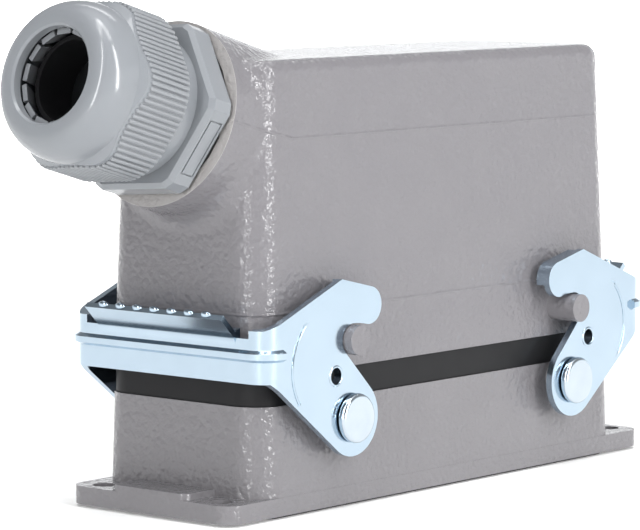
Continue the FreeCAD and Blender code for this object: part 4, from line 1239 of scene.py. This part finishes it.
@dataclass
class Studio:
    """Camera, floor and soft lights; lengths in metres.

    The surroundings are pale walls with a dark band above them and a pale ceiling. Each fade is a pair of
    places on the unit sphere, and its levels are the brightness before and after it.
    """

    camera_place: Triple = (-0.5806, -0.4774, 0.1210)
    camera_target: Triple = (-0.01618, 0.0, 0.04561)
    lens_mm: float = 200.5
    sensor_mm: float = 36.0
    clip: Pair = (0.05, 50.0)
    floor_z: float = -0.6 * MM
    floor_size: float = 24.0
    floor_colour: str = "f6f6f5"
    floor_roughness: float = 0.9
    floor_glow: float = 0.2
    wall_fade: Pair = (0.16, 0.38)
    wall_levels: Pair = (1.0, 0.25)
    ceiling_fade: Pair = (0.82, 0.95)
    ceiling_levels: Pair = (0.0, 0.9)
    side_fade: Pair = (-0.8, 0.75)
    side_levels: Pair = (0.6, 1.45)
    tint: tuple[float, float, float, float] = (0.97, 0.985, 1.0, 1.0)
    strips: tuple[tuple[str, float, float], ...] = (("left_strip", 195.0, 7.5), ("front_strip", 266.0, 10.5))
    strip_distance: float = 1.0
    strip_height: float = 0.72
    strip_size: Pair = (0.12, 1.4)
    top_distance: float = 0.35
    top_height: float = 1.6
    top_size: Pair = (0.3, 0.9)
    top_watts: float = 4.6
    background: SoftLight = SoftLight(
        "background_light", (2.2, 1.8, 1.9), (2.6, 2.6), 110.0, (2.0, 1.7, 0.0), spread_deg=80.0)

    def build(self) -> None:
        """Set up the camera, the floor and the lights."""
        self.camera()
        self.floor()
        self.surroundings()
        self.lights()
        view = bpy.context.scene.view_settings
        view.view_transform = "Standard"
        view.look = "None"

    def camera(self) -> None:
        """Camera at the photograph's place."""
        data = bpy.data.cameras.new("camera")
        data.lens, data.sensor_width = self.lens_mm, self.sensor_mm
        data.clip_start, data.clip_end = self.clip
        bpy.context.scene.camera = stand("camera", data, self.camera_place, self.camera_target)

    def floor(self) -> None:
        """Large pale floor."""
        floor = add_mesh(bpy.ops.mesh.primitive_plane_add, self.floor_z, size=self.floor_size)
        floor.name = "floor"
        material = bpy.data.materials.new("white_paper")
        material.use_nodes = True
        paper = material.node_tree.nodes["Principled BSDF"]
        paper.inputs["Base Color"].default_value = linear(self.floor_colour)
        paper.inputs["Roughness"].default_value = self.floor_roughness
        paper.inputs["Emission Color"].default_value = linear("ffffff")
        paper.inputs["Emission Strength"].default_value = self.floor_glow
        floor.data.materials.append(material)

    def surroundings(self) -> None:
        """World whose bands the glossy pieces mirror."""
        world = bpy.data.worlds.new("surroundings")
        world.use_nodes = True
        tree = world.node_tree
        direction = add_node(tree, "TexCoord").outputs["Generated"]
        axes = add_node(tree, "SeparateXYZ", inputs={0: direction}).outputs
        wall = ramp(tree, axes["Z"], self.wall_fade, self.wall_levels, soft=True)
        ceiling = ramp(tree, axes["Z"], self.ceiling_fade, self.ceiling_levels, soft=True)
        aside = ramp(tree, axes["X"], self.side_fade, self.side_levels)
        light = maths(tree, "MULTIPLY", maths(tree, "ADD", wall, ceiling), aside)
        background = tree.nodes["Background"]
        tree.links.new(light, background.inputs["Strength"])
        background.inputs["Color"].default_value = self.tint
        bpy.context.scene.world = world

    def lights(self) -> None:
        """Two tall strips that bend over the top, and a light on the background."""
        for name, turn_deg, watts in self.strips:
            turn = math.radians(turn_deg)
            out = Vector((math.cos(turn), math.sin(turn), 0))
            level = (0.0, 0.0, self.strip_height)
            place = (*(out * self.strip_distance).xy, self.strip_height)
            SoftLight(name, place, self.strip_size, watts, level).build()
            above = (*(out * self.top_distance).xy, self.top_height)
            SoftLight(name + "_top", above, self.top_size, self.top_watts, (0.0, 0.0, 0.0)).build()
        self.background.build()


def main() -> None:
    """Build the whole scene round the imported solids."""
    logging.basicConfig(level=logging.INFO, format="%(name)s: %(message)s")
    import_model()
    Studio().build()
    Castings().build()
    DomeNut().build()
    GlandBody().build()
    Levers().build()
    Insides().build()


if __name__ == "__main__":
    main()
